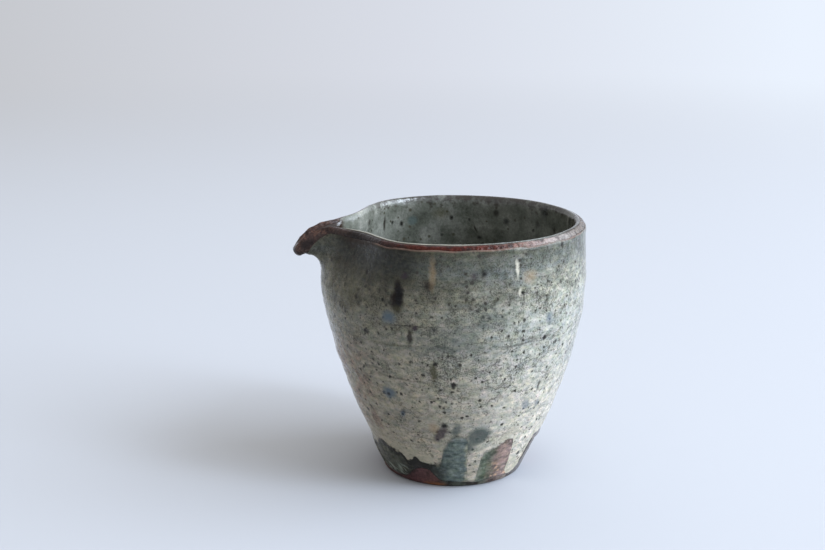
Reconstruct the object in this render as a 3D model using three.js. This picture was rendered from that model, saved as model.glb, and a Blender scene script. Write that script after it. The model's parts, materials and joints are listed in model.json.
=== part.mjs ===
// A spouted bowl of thrown stoneware, for tea or sake: one clay body with a pulled spout and a turned foot, a pale
// glaze coat outside that ends above the foot in a poured, wavy edge, and a glaze coat inside.
// Millimetres, +Z up. The bowl stands on z = 0 and the spout points along -X.
import * as THREE from "three";

// Driving dimensions of the clay body
const rimHeight = 87.4; // table to the top of the rim's clay
const rimRadius = 44.1; // outside of the rim
const bellyRadius = 44.5; // widest part of the wall
const bellyHeight = 68.8;
const footRadius = 24.2; // outside of the foot, where it stands
const lipThickness = 3.2; // wall at the rim, which is rounded over
const wallThickness = 4.6; // wall below the middle
const wallThinsFrom = 25; // height from which the wall gets thinner
const wallThinsTo = 70; // height from which it is as thin as the lip
const floorHeight = 7; // table to the clay inside the bowl, at the middle
const floorRounding = 24; // height at which the wall's inside starts to round into the floor
const footRingWidth = 5.2; // the flat ring that the bowl stands on
const footRecess = 2.6; // how deep the turned foot is hollowed
const footBevel = 0.8; // bevel round the outside of the foot
const footFlare = 7.8; // how far the wall leans out above the foot, as a curve handle
const footFlareHeight = 16.6;
const bellyFullness = 24.4; // length of the curve's handle below the belly
const neckHeight = 5; // how far below the rim the wall starts to lean in
const neckInset = 0.6; // how far the neck lies inside the rim

// Driving dimensions of the pulled spout. Its angles are in degrees round the bowl, from the middle of the spout.
const spoutBend = 114; // degrees that the lip is bent over at the middle of the spout
const spoutBendLength = 14; // height of wall that is bent
const spoutHalfAngle = 5.7; // from the middle of the spout to its edge
const spoutSquareness = 3.5; // how flat the channel is across
const leanReach = 1.5; // how far the wall under the spout is pulled out
const leanAngle = 15;
const leanHeight = 27; // height of wall over which it is pulled out
const pinchDepth = 6.4; // how far the rim is pressed in beside the spout
const pinchAngle = 29.5; // to the middle of each pressed place
const pinchWidth = 22.5;
const pinchHeight = 26; // height of wall, below the rim, over which the pressing fades out
const rimDip = 1.05; // how far the pulling lowers the rim at the spout
const rimDipAngle = 65;
const rimDipHeight = 46;

// Driving dimensions of the glaze coats
const outerGlazeThickness = 0.5;
const innerGlazeThickness = 0.4;
const glazeEdgeThickness = 0.2; // a coat is thinner along its edge
const glazeSeat = 0.05; // between a coat and the clay that it is fused to, so that the solids stay apart
const rimBandHeight = 2.4; // the bare iron-red band, from the middle of the lip down

// The poured lower edge of the outer glaze, round the bowl: [degrees from the spout, height above the table]
const glazeEdge = [
  [0, 9], [15, 7], [30, 2.4], [46, 1.8], [54, 6.8], [68, 7], [78, 3.6], [93, 2.8], [104, 1.6], [110, 3.4],
  [116, 14], [121, 17], [126, 12.5], [133, 4.2], [139, 6], [147, 13], [165, 11], [185, 7], [205, 12.5],
  [225, 9], [243, 4.5], [260, 10], [280, 13], [300, 8.5], [320, 11.5], [340, 6],
];

// Steps of the surfaces
const fineStep = 1.6; // degrees, across the spout
const fineEnd = 12.8;
const mediumSteps = 8; // across each pressed place
const mediumEnd = 60;
const coarseSteps = 24; // round the rest, on each side
const bareRows = 3; // up the bare clay above the foot
const wallRows = 8; // up the wall to where the spout's bend starts
const bendRows = 6; // up the bend
const lipRows = 6; // over the lip
const bareLipRows = 2; // the first of them, up to where the inner glaze ends on top of the lip
const floorRows = 6; // from the inner wall to the middle of the floor

const lipRadius = lipThickness / 2;
const lipHeight = rimHeight - lipRadius;
const lipCentre = rimRadius - lipRadius;
const bendStart = lipHeight - spoutBendLength;
const { degToRad, euclideanModulo, smoothstep } = THREE.MathUtils;
const fadeIn = (from, to, x) => smoothstep(x, from, to);
const bell = (x, width, power = 2) => Math.exp(-(Math.abs(x / width) ** power));
const steps = (from, to, count) => Array.from({ length: count + 1 }, (_, i) => from + ((to - from) * i) / count);
const vector = (r, z) => new THREE.Vector2(r, z);

// The wall's outside: two curves that meet upright at the belly.
const lowerWall = new THREE.CubicBezierCurve(
  vector(footRadius, 0),
  vector(footRadius + footFlare, footFlareHeight),
  vector(bellyRadius, bellyHeight - bellyFullness),
  vector(bellyRadius, bellyHeight),
);
const upperWall = new THREE.CubicBezierCurve(
  vector(bellyRadius, bellyHeight),
  vector(bellyRadius, bellyHeight + neckHeight / 2),
  vector(rimRadius - neckInset, lipHeight - neckHeight),
  vector(rimRadius, lipHeight),
);

// A curve's point and its normal, which points away from the clay on a curve that rises outside the wall.
function pointOf(curve, t, along) {
  const tangent = curve.getTangent(THREE.MathUtils.clamp(t, 0.001, 0.999));
  return curve.getPoint(t).add(vector(tangent.y, -tangent.x).multiplyScalar(along));
}

// A point of the outside wall at a height, moved out along its normal, or in where out is negative.
function outsideAt(z, out = 0) {
  const curve = z < bellyHeight ? lowerWall : upperWall;
  let low = 0;
  let high = 1;
  for (let i = 0; i < 40; i += 1) {
    const middle = (low + high) / 2;
    if (curve.getPoint(middle).y < z) low = middle;
    else high = middle;
  }
  return pointOf(curve, low, out);
}

// A point of the inside wall, where the wall's thickness is set off from its outside, moved into the hollow.
function insideAt(z, into = 0) {
  const thickness = wallThickness - (wallThickness - lipThickness) * fadeIn(wallThinsFrom, wallThinsTo, z);
  return outsideAt(z, -thickness - into);
}

// The floor's inside: from the wall round to the middle.
const floorStart = insideAt(floorRounding);
const wallSlope = insideAt(floorRounding + 1).sub(floorStart).normalize();
const floorCurve = new THREE.CubicBezierCurve(
  floorStart,
  floorStart.clone().sub(wallSlope.multiplyScalar((floorRounding - floorHeight) * 0.55)),
  vector(floorStart.x * 0.55, floorHeight),
  vector(0, floorHeight),
);

// What the potter's fingers do to the soft rim: pull the wall out under the spout, press it in on both sides and bend
// the lip over. The angle is in degrees round the bowl, and the spout is at 0.
function pulled(r, z, angle) {
  const away = Math.abs(euclideanModulo(angle + 180, 360) - 180);
  const lean = leanReach * bell(away, leanAngle) * fadeIn(bendStart - leanHeight, bendStart, z);
  const press = pinchDepth * bell(away - pinchAngle, pinchWidth) * fadeIn(lipHeight - pinchHeight, lipHeight, z);
  const shift = (lean - press) * fadeIn(0, lipCentre / 2, r);
  const dip = rimDip * bell(away, rimDipAngle) * fadeIn(lipHeight - rimDipHeight, lipHeight, z);
  const bend = degToRad(spoutBend) * bell(away, spoutHalfAngle, spoutSquareness);
  const rise = z - bendStart;
  if (rise <= 0 || bend < 1e-4) return vector(r + shift, z - dip);
  const turn = (bend * rise) / spoutBendLength;
  const radius = spoutBendLength / bend;
  const offset = r - lipCentre;
  return vector(
    lipCentre + radius * (1 - Math.cos(turn)) + offset * Math.cos(turn) + shift,
    bendStart + (radius - offset) * Math.sin(turn) - dip,
  );
}

// Angles of the columns round the bowl, in degrees, closest together across the spout.
function columnAngles() {
  const half = [
    ...steps(0, fineEnd, Math.round(fineEnd / fineStep)).slice(1, -1),
    ...steps(fineEnd, mediumEnd, mediumSteps).slice(0, -1),
    ...steps(mediumEnd, 180, coarseSteps).slice(0, -1),
  ];
  return [0, ...half, 180, ...half.map((angle) => 360 - angle).reverse()];
}
const angles = columnAngles();

// A closed solid from a section that runs anticlockwise in the (r, z) half-plane. section(angle) gives its points for
// that angle. An open section starts and ends on the axis, and a ring section closes on itself. A face's diagonal
// always runs down towards the earlier column, so that a coat's faces stay parallel to the clay's.
function turned(section, ring) {
  const rows = angles.map((angle) => section(angle));
  const count = rows[0].length;
  const positions = rows.flatMap((row, c) => {
    const turn = degToRad(angles[c]);
    return row.flatMap((point) => {
      const { x: r, y: z } = pulled(point.x, point.y, angles[c]);
      return [-r * Math.cos(turn), -r * Math.sin(turn), z];
    });
  });
  const at = (c, k) => {
    const row = k % count;
    const onAxis = !ring && (row === 0 || row === count - 1);
    return (onAxis ? 0 : c % angles.length) * count + row;
  };
  const index = [];
  const triangle = (a, b, c) => {
    if (a !== b && b !== c && a !== c) index.push(a, b, c);
  };
  for (let c = 0; c < angles.length; c += 1) {
    for (let k = 0; k < (ring ? count : count - 1); k += 1) {
      const [a, b, d, e] = [at(c, k), at(c + 1, k), at(c + 1, k + 1), at(c, k + 1)];
      const rising = rows[c][(k + 1) % count].y >= rows[c][k].y;
      triangle(a, b, rising ? d : e);
      triangle(rising ? a : b, d, e);
    }
  }
  const geometry = new THREE.BufferGeometry();
  geometry.setAttribute("position", new THREE.Float32BufferAttribute(positions, 3));
  geometry.setIndex(index);
  geometry.computeVertexNormals();
  return geometry;
}

// Height of the outer glaze's lower edge at an angle: the poured edge, rounded between its points.
function glazeEdgeAt(angle) {
  const after = glazeEdge.findIndex(([a]) => a > angle);
  const next = after < 0 ? 0 : after;
  const [fromAngle, fromHeight] = glazeEdge[(next + glazeEdge.length - 1) % glazeEdge.length];
  const toAngle = glazeEdge[next][0] + (after < 0 ? 360 : 0);
  return fromHeight + (glazeEdge[next][1] - fromHeight) * fadeIn(fromAngle, toAngle, angle);
}

// The rows that a coat and the clay under it share, closest together where the spout bends.
const glazedOutside = (angle) => [
  ...steps(glazeEdgeAt(angle), bendStart, wallRows).slice(0, -1),
  ...steps(bendStart, lipHeight - rimBandHeight, bendRows),
];
const glazedLip = steps(0, Math.PI, lipRows).slice(bareLipRows);
const insideHeights = [
  ...steps(lipHeight, bendStart, bendRows).slice(1, -1),
  ...steps(bendStart, floorRounding, wallRows).slice(0, -1),
];

// A point of the rounded lip, from 0 outside over the top to half a turn inside, moved out of the clay.
const lipAt = (turn, out = 0) =>
  vector(lipCentre + (lipRadius + out) * Math.cos(turn), lipHeight + (lipRadius + out) * Math.sin(turn));

// The inner glaze's rows, from the top of the lip to the middle of the floor, moved out of the clay.
function insidePoints(edgeOut, out) {
  const lip = glazedLip.map((turn, i) => lipAt(turn, i === 0 ? edgeOut : out));
  const wall = insideHeights.map((z) => insideAt(z, out));
  const floor = steps(0, 1, floorRows).map((t) => pointOf(floorCurve, t, out));
  floor[floorRows].x = 0;
  return [...lip, ...wall, ...floor];
}

// The clay: hollowed foot, outside wall, rounded lip, inside wall and floor.
function claySection(angle) {
  const ringInside = footRadius - footRingWidth;
  const foot = [
    vector(0, footRecess),
    vector(ringInside - footRecess / 2, footRecess),
    vector(ringInside, 0),
    vector(footRadius - footBevel, 0),
  ];
  const bare = steps(footBevel, glazeEdgeAt(angle), bareRows).slice(0, -1);
  const wall = [...bare, ...glazedOutside(angle), lipHeight].map((z) => outsideAt(z));
  const bareLip = steps(0, Math.PI, lipRows).slice(1, bareLipRows);
  return [...foot, ...wall, ...bareLip.map((turn) => lipAt(turn)), ...insidePoints(0, 0)];
}

// A coat's section goes along its free face and back along the face on the clay.
function outerGlazeSection(angle) {
  const heights = glazedOutside(angle);
  const free = heights.map((z, i) => {
    const atEdge = i === 0 || i === heights.length - 1;
    return outsideAt(z, glazeSeat + (atEdge ? glazeEdgeThickness : outerGlazeThickness));
  });
  return [...free, ...heights.map((z) => outsideAt(z, glazeSeat)).reverse()];
}

function innerGlazeSection() {
  const free = insidePoints(glazeSeat + glazeEdgeThickness, glazeSeat + innerGlazeThickness);
  return [...insidePoints(glazeSeat, glazeSeat).reverse(), ...free];
}

function piece(name, geometry, color, roughness) {
  const mesh = new THREE.Mesh(geometry, new THREE.MeshStandardMaterial({ color, roughness, metalness: 0 }));
  mesh.name = name;
  return mesh;
}

// The origin is under the middle of the part's box, so the bowl's own axis stands a little towards +X.
const bowl = new THREE.Group();
bowl.add(piece("clay_body", turned(claySection, false), 0x5b3a30, 0.55));
bowl.add(piece("outer_glaze", turned(outerGlazeSection, true), 0x9a9d90, 0.25));
bowl.add(piece("inner_glaze", turned(innerGlazeSection, false), 0x8c9488, 0.25));
const box = new THREE.Box3().setFromObject(bowl, true);
bowl.position.x = -(box.min.x + box.max.x) / 2;

const part = new THREE.Group();
part.add(bowl);

export default part;
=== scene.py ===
# %% [markdown]
# # A thrown stoneware bowl with a pulled spout
#
# The real bowl is one lump of iron-rich clay. It was thrown on a wheel, its spout was pulled out of the
# soft rim with the fingers, and its foot was turned when the clay was firm. White slip was brushed over the
# outside, a clear ash glaze was poured over that, and another glaze lines the inside. So there are three
# pieces: the clay body and the two coats of glass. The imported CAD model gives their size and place, and
# this script gives them their real surface.

# %% The frame
import json
import math

import bmesh
import bpy
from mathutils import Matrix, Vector
from mathutils.interpolate import poly_3d_calc

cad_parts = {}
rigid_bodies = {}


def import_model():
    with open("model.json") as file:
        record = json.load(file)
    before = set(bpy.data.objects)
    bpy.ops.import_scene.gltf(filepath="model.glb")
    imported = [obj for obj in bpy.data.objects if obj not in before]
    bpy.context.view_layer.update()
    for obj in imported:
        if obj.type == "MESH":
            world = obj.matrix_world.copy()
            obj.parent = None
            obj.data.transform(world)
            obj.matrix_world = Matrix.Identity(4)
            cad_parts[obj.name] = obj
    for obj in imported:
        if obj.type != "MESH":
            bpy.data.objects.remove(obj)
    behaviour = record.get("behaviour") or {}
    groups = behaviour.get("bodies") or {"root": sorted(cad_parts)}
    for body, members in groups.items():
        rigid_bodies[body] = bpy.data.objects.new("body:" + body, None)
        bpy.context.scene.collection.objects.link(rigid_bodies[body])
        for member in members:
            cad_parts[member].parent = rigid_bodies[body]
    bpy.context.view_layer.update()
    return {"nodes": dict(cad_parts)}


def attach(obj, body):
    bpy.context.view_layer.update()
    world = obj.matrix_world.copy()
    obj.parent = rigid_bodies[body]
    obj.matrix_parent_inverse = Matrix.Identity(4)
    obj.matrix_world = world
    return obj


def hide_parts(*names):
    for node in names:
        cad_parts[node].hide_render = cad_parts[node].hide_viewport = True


# Blender opens with a cube, a lamp and a camera of its own
for leftover in list(bpy.data.objects):
    bpy.data.objects.remove(leftover)
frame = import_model()

# %% [markdown]
# ## Sizes
#
# A potter's sizes are millimetres, so every size below is in millimetres and every angle in degrees.
# Blender works in metres, so the geometry trees divide by 1000 as their last step. The bowl's height and
# its axis come from the frame: the flat ring that it stands on is a true circle round the axis.

# %% Sizes of the thrown form
METRE = 1000.0
clay_points = [vertex.co * METRE for vertex in frame["nodes"]["clay_body"].data.vertices]
rim_height = max(point.z for point in clay_points)
rests_below = 0.1
foot_points = [point.x for point in clay_points if point.z < rests_below]
axis_x = (min(foot_points) + max(foot_points)) / 2
rim_radius = 44.1
belly_radius = 44.5
belly_height = 68.8
foot_radius = 24.2
lip_thickness = 3.2
wall_thickness = 4.6
wall_thins_from = 25.0
wall_thins_to = 70.0
floor_height = 7.0
floor_rounding = 24.0
foot_ring_width = 5.2
foot_recess = 2.6
foot_bevel = 0.8
foot_flare = 7.8
foot_flare_height = 16.6
belly_fullness = 24.4
neck_height = 5.0
neck_inset = 0.6
lip_radius = lip_thickness / 2
lip_height = rim_height - lip_radius
lip_centre = rim_radius - lip_radius
print(f"axis at x = {axis_x:.2f} mm, rim at {rim_height:.1f} mm, lip's middle at {lip_height:.1f} mm")

# %% [markdown]
# ## Camera
#
# The photograph was taken from a little above the rim, with a lens of about 56 mm on a 36 mm frame. The
# distance and the tilt were found by matching the outline of the bowl, so they are written here as a
# photographer would note them. The bowl is turned so that the spout points a few degrees towards the
# viewer.

# %% Camera
photo_width = 825
focal_length_px = 1280.3
sensor_width = 36.0
camera_distance = 425.8
camera_height = 174.2
camera_pitch = 14.081
camera_yaw = 1.891
spout_turn = 7.3

camera_data = bpy.data.cameras.new("camera")
camera_data.sensor_width = sensor_width
camera_data.lens = focal_length_px / photo_width * sensor_width
camera_data.clip_start = 0.01
camera_data.clip_end = 50.0
camera = bpy.data.objects.new("camera", camera_data)
bpy.context.scene.collection.objects.link(camera)
bpy.context.scene.camera = camera
turn = math.radians(spout_turn)
camera.location = (
    (axis_x - camera_distance * math.sin(turn)) / METRE,
    -camera_distance * math.cos(turn) / METRE,
    camera_height / METRE,
)
camera.rotation_euler = (math.radians(90 - camera_pitch), 0, math.radians(camera_yaw - spout_turn))
print(f"camera: {camera_data.lens:.1f} mm lens at", [round(v, 3) for v in camera.location])

# %% [markdown]
# ## One function for nodes
#
# Geometry Nodes and materials are both graphs. This one function adds a node, sets its properties and fills
# its inputs. An input is given by its name or its number, and its value is a plain number, a socket or
# another node, whose first output in use is taken.


# %% Node function
def add(tree, kind, inputs=(), **settings):
    node = tree.nodes.new(kind)
    for name, value in settings.items():
        setattr(node, name, value)
    pairs = inputs.items() if isinstance(inputs, dict) else enumerate(inputs)
    for key, value in pairs:
        if isinstance(value, bpy.types.Node):
            value = next(socket for socket in value.outputs if socket.enabled)
        if isinstance(value, bpy.types.NodeSocket):
            tree.links.new(value, node.inputs[key])
        else:
            node.inputs[key].default_value = value
    return node


print("one function for nodes: add")


# %% Trees, fades and bells
def new_tree(name, inputs, outputs):
    """A geometry tree with named inputs: a text is a socket's kind, and a number is a size's default."""
    tree = bpy.data.node_groups.new(name, "GeometryNodeTree")
    for label, value in inputs.items():
        kind = "NodeSocketInt" if isinstance(value, int) else "NodeSocketFloat"
        kind = value if isinstance(value, str) else kind
        socket = tree.interface.new_socket(label, in_out="INPUT", socket_type=kind)
        if not isinstance(value, str):
            socket.default_value = value
    for label, kind in outputs.items():
        tree.interface.new_socket(label, in_out="OUTPUT", socket_type=kind)
    return tree, tree.nodes.new("NodeGroupInput").outputs, tree.nodes.new("NodeGroupOutput").inputs


def fade(tree, value, start, end):
    """0 before start, 1 after end, and a smooth rise between them."""
    return add(tree, "ShaderNodeMapRange", [value, start, end, 0.0, 1.0], interpolation_type="SMOOTHSTEP")


def bell(tree, value, middle, width, power=2.0):
    """1 at the middle and close to 0 beyond the width. A higher power makes its top flatter."""
    offset = add(tree, "ShaderNodeMath", [value, middle], operation="SUBTRACT")
    share = add(tree, "ShaderNodeMath", [offset, width], operation="DIVIDE")
    size = add(tree, "ShaderNodeMath", [share], operation="ABSOLUTE")
    grown = add(tree, "ShaderNodeMath", [size, power], operation="POWER")
    negative = add(tree, "ShaderNodeMath", [grown, -1.0], operation="MULTIPLY")
    return add(tree, "ShaderNodeMath", [negative], operation="EXPONENT")


print("helpers on top of it: new_tree, fade, bell")

# %% [markdown]
# ## The section
#
# A thrown pot is its section turned round the axis. The section starts on the axis under the foot, goes
# round the foot ring, up the outside, over the lip, down the inside and back to the axis across the floor.
# It is kept as a mesh without faces: each vertex has its radius in x and its height in z, an arrow that
# points out of the clay, and how strongly the throwing rings show there.


# %% The section
def bezier(points, t):
    """A point of a cubic curve and the curve's direction there."""
    a, b, c, d = [Vector(point) for point in points]
    s = 1 - t
    place = a * s**3 + b * (3 * s * s * t) + c * (3 * s * t * t) + d * t**3
    along = (b - a) * (s * s) + (c - b) * (2 * s * t) + (d - c) * (t * t)
    return place, along.normalized()


def smooth(value, start, end):
    t = min(max((value - start) / (end - start), 0.0), 1.0)
    return t * t * (3 - 2 * t)


halvings = 40
curve_margin = 0.001
lower_wall = [
    (foot_radius, 0),
    (foot_radius + foot_flare, foot_flare_height),
    (belly_radius, belly_height - belly_fullness),
    (belly_radius, belly_height),
]
upper_wall = [
    (belly_radius, belly_height),
    (belly_radius, belly_height + neck_height / 2),
    (rim_radius - neck_inset, lip_height - neck_height),
    (rim_radius, lip_height),
]


def outside_at(z):
    """The outside wall's point at a height, and the arrow out of the clay."""
    curve = lower_wall if z < belly_height else upper_wall
    low, high = 0.0, 1.0
    for _ in range(halvings):
        middle = (low + high) / 2
        if bezier(curve, middle)[0].y < z:
            low = middle
        else:
            high = middle
    place, along = bezier(curve, min(max(low, curve_margin), 1 - curve_margin))
    return Vector((place.x, z)), Vector((along.y, -along.x))


def inside_at(z):
    place, out = outside_at(z)
    thickness = wall_thickness - (wall_thickness - lip_thickness) * smooth(z, wall_thins_from, wall_thins_to)
    return place - out * thickness, -out


print(f"outside radius in the middle of the height: {outside_at(rim_height / 2)[0].x:.1f} mm")

# %% The foot's steps
wall_step = 0.6
lip_steps = 14
inside_steps = 88
floor_steps = 22
foot_step = 1.2
ring_free_foot = 12.0
ring_free_rim = 7.0
ring_margin = 2.0
inside_rings = 0.8
recess_slope = 0.7
recess_shoulder = 0.25
floor_pull = 0.55

section = []


def section_point(place, out, rings=0.0):
    section.append((place, out, rings))


foot_corners = [
    (0, foot_recess),
    (foot_radius - foot_ring_width - foot_recess * recess_slope, foot_recess),
    (foot_radius - foot_ring_width - foot_recess * recess_shoulder, foot_recess * recess_slope),
    (foot_radius - foot_ring_width, 0),
    (foot_radius - foot_bevel, 0),
]
down = Vector((0, -1))
for start, end in zip(foot_corners, foot_corners[1:]):
    start, end = Vector(start), Vector(end)
    count = max(1, round((end - start).length / foot_step))
    for i in range(count):
        section_point(start.lerp(end, i / count), down)
bevel_end = outside_at(foot_bevel)[0]
bevel_start = Vector(foot_corners[-1])
for turn_share in (0, 1 / 3, 2 / 3):
    angle = turn_share * math.pi / 2
    across = math.sin(angle)
    up = 1 - math.cos(angle)
    section_point(bevel_start + Vector((across * (bevel_end.x - bevel_start.x), up * foot_bevel)), down)
print(f"foot: {len(section)} points")

# %% Up the outside, over the lip and down the inside
first_outside = len(section)
outside_steps = round((lip_height - foot_bevel) / wall_step)
for i in range(outside_steps + 1):
    z = foot_bevel + (lip_height - foot_bevel) * i / outside_steps
    rings = smooth(z, ring_margin, ring_free_foot)
    rings *= 1 - smooth(z, lip_height - ring_free_rim, lip_height - ring_margin)
    section_point(*outside_at(z), rings)
first_lip = len(section) - 1
for i in range(1, lip_steps + 1):
    angle = math.pi * i / lip_steps
    out = Vector((math.cos(angle), math.sin(angle)))
    section_point(Vector((lip_centre, lip_height)) + out * lip_radius, out)
first_inside = len(section) - 1
for i in range(1, inside_steps + 1):
    z = lip_height + (floor_rounding - lip_height) * i / inside_steps
    rings = inside_rings * (1 - smooth(z, lip_height - ring_free_rim, lip_height - ring_margin))
    section_point(*inside_at(z), rings)
floor_start, floor_out = inside_at(floor_rounding)
wall_down = Vector((floor_out.y, -floor_out.x))
if wall_down.y > 0:
    wall_down = -wall_down
floor_curve = [
    floor_start,
    floor_start + wall_down * (floor_rounding - floor_height) * floor_pull,
    (floor_start.x * floor_pull, floor_height),
    (0, floor_height),
]
for i in range(1, floor_steps + 1):
    place, along = bezier(floor_curve, i / floor_steps)
    section_point(place, Vector((along.y, -along.x)), inside_rings * (1 - i / floor_steps))
last_place = len(section) - 1
print(f"section: {len(section)} points, {outside_steps} steps of {wall_step} mm up the outside")


# %% Places on the section
def outside_place(z):
    """How far along the section a height of the outside is, counted in section points."""
    if z > lip_height:
        return first_lip + math.asin((z - lip_height) / lip_radius) / math.pi * lip_steps
    return first_outside + (z - foot_bevel) / (lip_height - foot_bevel) * outside_steps


def section_object(name):
    """A new object whose mesh is the section, with its arrows and ring strength as attributes."""
    mesh = bpy.data.meshes.new(name)
    mesh.from_pydata([(place.x, 0, place.y) for place, _, _ in section], [], [])
    outward = mesh.attributes.new("outward", "FLOAT_VECTOR", "POINT")
    outward.data.foreach_set("vector", [part for _, out, _ in section for part in (out.x, 0, out.y)])
    rings = mesh.attributes.new("rings", "FLOAT", "POINT")
    rings.data.foreach_set("value", [strength for _, _, strength in section])
    piece = bpy.data.objects.new(name, mesh)
    bpy.context.scene.collection.objects.link(piece)
    return piece


print(f"the belly is {outside_place(belly_height):.1f} steps along the section")

# %% [markdown]
# ## What the fingers do to the rim
#
# The spout isn't a piece of its own. The potter pulls the soft wall out, presses the rim in on both sides,
# and bends the lip over with a wet finger. As a rule this moves every point of a section by an amount that
# depends on its angle from the spout and its height. A node group holds the rule once, and the clay and
# both coats use it, so they stay together.

# %% Sizes of the pull
pull_sizes = {
    "Spout Bend": 114.0,
    "Bend Length": 14.0,
    "Spout Half Angle": 5.7,
    "Spout Squareness": 3.5,
    "Lean Reach": 1.5,
    "Lean Angle": 15.0,
    "Lean Height": 27.0,
    "Pinch Depth": 6.4,
    "Pinch Angle": 29.5,
    "Pinch Width": 22.5,
    "Pinch Height": 26.0,
    "Side Depth": 0.85,
    "Side Angle": 42.0,
    "Side Foot": 2.0,
    "Side Low": 14.0,
    "Side High": 66.0,
    "Side Top": 78.0,
    "Waist Depth": 0.8,
    "Waist Angle": 60.0,
    "Waist Height": 12.0,
    "Waist Width": 11.0,
    "Rim Dip": 1.05,
    "Dip Angle": 65.0,
    "Dip Height": 46.0,
}
bend_start = lip_height - pull_sizes["Bend Length"]
least_bend = 0.001
NUMBER, GEOMETRY, VECTOR = "NodeSocketFloat", "NodeSocketGeometry", "NodeSocketVector"
print(f"the lip bends from {bend_start:.1f} mm up")


# %% The pulled rim as a node group
def pulled_rim():
    tree, given, result = new_tree(
        "Pulled Rim",
        {"Radius": 0.0, "Height": 0.0, "Angle": 0.0, **pull_sizes},
        {"Radius": NUMBER, "Height": NUMBER},
    )
    radius, height = given["Radius"], given["Height"]
    away = add(tree, "ShaderNodeMath", [given["Angle"]], operation="ABSOLUTE")

    def moved(middle, spread, reach_down, top, amount):
        """The whole amount at the middle angle and the top, and nothing far from them."""
        bottom = add(tree, "ShaderNodeMath", [top, given[reach_down]], operation="SUBTRACT")
        share = add(
            tree,
            "ShaderNodeMath",
            [bell(tree, away, middle, given[spread]), fade(tree, height, bottom, top)],
            operation="MULTIPLY",
        )
        return add(tree, "ShaderNodeMath", [share, given[amount]], operation="MULTIPLY")

    # the wall under the spout is pulled out, the rim beside it is pressed in, and the pulling lowers the rim
    lean = moved(0.0, "Lean Angle", "Lean Height", bend_start, "Lean Reach")
    press = moved(given["Pinch Angle"], "Pinch Width", "Pinch Height", lip_height, "Pinch Depth")
    dip = moved(0.0, "Dip Angle", "Dip Height", lip_height, "Rim Dip")
    # the hand that held the wall flattened it a little below the spout and above the foot
    flat_side = bell(tree, away, 0.0, given["Side Angle"])
    for start, end in (("Side Foot", "Side Low"), ("Side Top", "Side High")):
        share = fade(tree, height, given[start], given[end])
        flat_side = add(tree, "ShaderNodeMath", [flat_side, share], operation="MULTIPLY")
    flat_side = add(tree, "ShaderNodeMath", [flat_side, given["Side Depth"]], operation="MULTIPLY")
    waist = bell(tree, away, 0.0, given["Waist Angle"])
    waist_height = bell(tree, height, given["Waist Height"], given["Waist Width"])
    waist = add(tree, "ShaderNodeMath", [waist, waist_height], operation="MULTIPLY")
    flat_side = add(
        tree, "ShaderNodeMath", [waist, given["Waist Depth"], flat_side], operation="MULTIPLY_ADD"
    )
    shift = lean
    for inward in (press, flat_side):
        shift = add(tree, "ShaderNodeMath", [shift, inward], operation="SUBTRACT")
    shift = add(
        tree, "ShaderNodeMath", [shift, fade(tree, radius, 0.0, lip_centre / 2)], operation="MULTIPLY"
    )
    # the lip is bent over: the height above the bend's start is wound round a circle
    most_bend = add(tree, "ShaderNodeMath", [given["Spout Bend"]], operation="RADIANS")
    across = bell(tree, away, 0.0, given["Spout Half Angle"], given["Spout Squareness"])
    bend = add(tree, "ShaderNodeMath", [most_bend, across], operation="MULTIPLY")
    bend = add(tree, "ShaderNodeMath", [bend, least_bend], operation="MAXIMUM")
    above = add(tree, "ShaderNodeMath", [height, bend_start], operation="SUBTRACT")
    rise = add(tree, "ShaderNodeMath", [above, 0.0], operation="MAXIMUM")
    below = add(tree, "ShaderNodeMath", [above, 0.0], operation="MINIMUM")
    rise_share = add(tree, "ShaderNodeMath", [rise, given["Bend Length"]], operation="DIVIDE")
    turned = add(tree, "ShaderNodeMath", [bend, rise_share], operation="MULTIPLY")
    circle = add(tree, "ShaderNodeMath", [given["Bend Length"], bend], operation="DIVIDE")
    offset = add(tree, "ShaderNodeMath", [radius, lip_centre], operation="SUBTRACT")
    cosine = add(tree, "ShaderNodeMath", [turned], operation="COSINE")
    sine = add(tree, "ShaderNodeMath", [turned], operation="SINE")
    versine = add(tree, "ShaderNodeMath", [1.0, cosine], operation="SUBTRACT")
    out = add(tree, "ShaderNodeMath", [circle, versine, lip_centre], operation="MULTIPLY_ADD")
    out = add(tree, "ShaderNodeMath", [offset, cosine, out], operation="MULTIPLY_ADD")
    out = add(tree, "ShaderNodeMath", [out, shift], operation="ADD")
    lever = add(tree, "ShaderNodeMath", [circle, offset], operation="SUBTRACT")
    up = add(tree, "ShaderNodeMath", [lever, sine, below], operation="MULTIPLY_ADD")
    up = add(tree, "ShaderNodeMath", [up, bend_start], operation="ADD")
    up = add(tree, "ShaderNodeMath", [up, dip], operation="SUBTRACT")
    tree.links.new(out.outputs[0], result["Radius"])
    tree.links.new(up.outputs[0], result["Height"])
    return tree


pulled_rim_tree = pulled_rim()
print(f"pulled rim: {len(pulled_rim_tree.nodes)} nodes")

# %% [markdown]
# ## A point of the wall
#
# The second group finds a point of the finished wall from three numbers: how far along the section it is,
# its angle round the bowl, and how far out of the clay it lies. It adds what a wheel and two hands leave
# behind: throwing rings, which lean a little and fade in and out, and a slow wobble of the whole wall.

# %% What a wheel and two hands leave
hand_sizes = {
    "Ring Depth": 0.6,
    "Ring Spacing": 6.5,
    "Wobble": 0.5,
    "Rim Wobble": 0.5,
    "Beak Thickness": 0.95,
    "Beak Angle": 8.5,
}
pad_rises = (first_lip + 7, first_inside + 3)
pad_falls = (first_inside + 26, first_inside + 10)
ring_stretch = (0.35, 0.35, 1.0)
ring_gain = 2.0
wobble_height = 50.0
rim_noise_level = 7.0
wobbles = {
    # the noise's scale and detail, and the heights at which it starts and is full
    "Wobble": (1.0, 1.0, 4.0, 30.0),
    "Rim Wobble": (1.6, 2.0, 60.0, lip_height),
}


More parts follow.
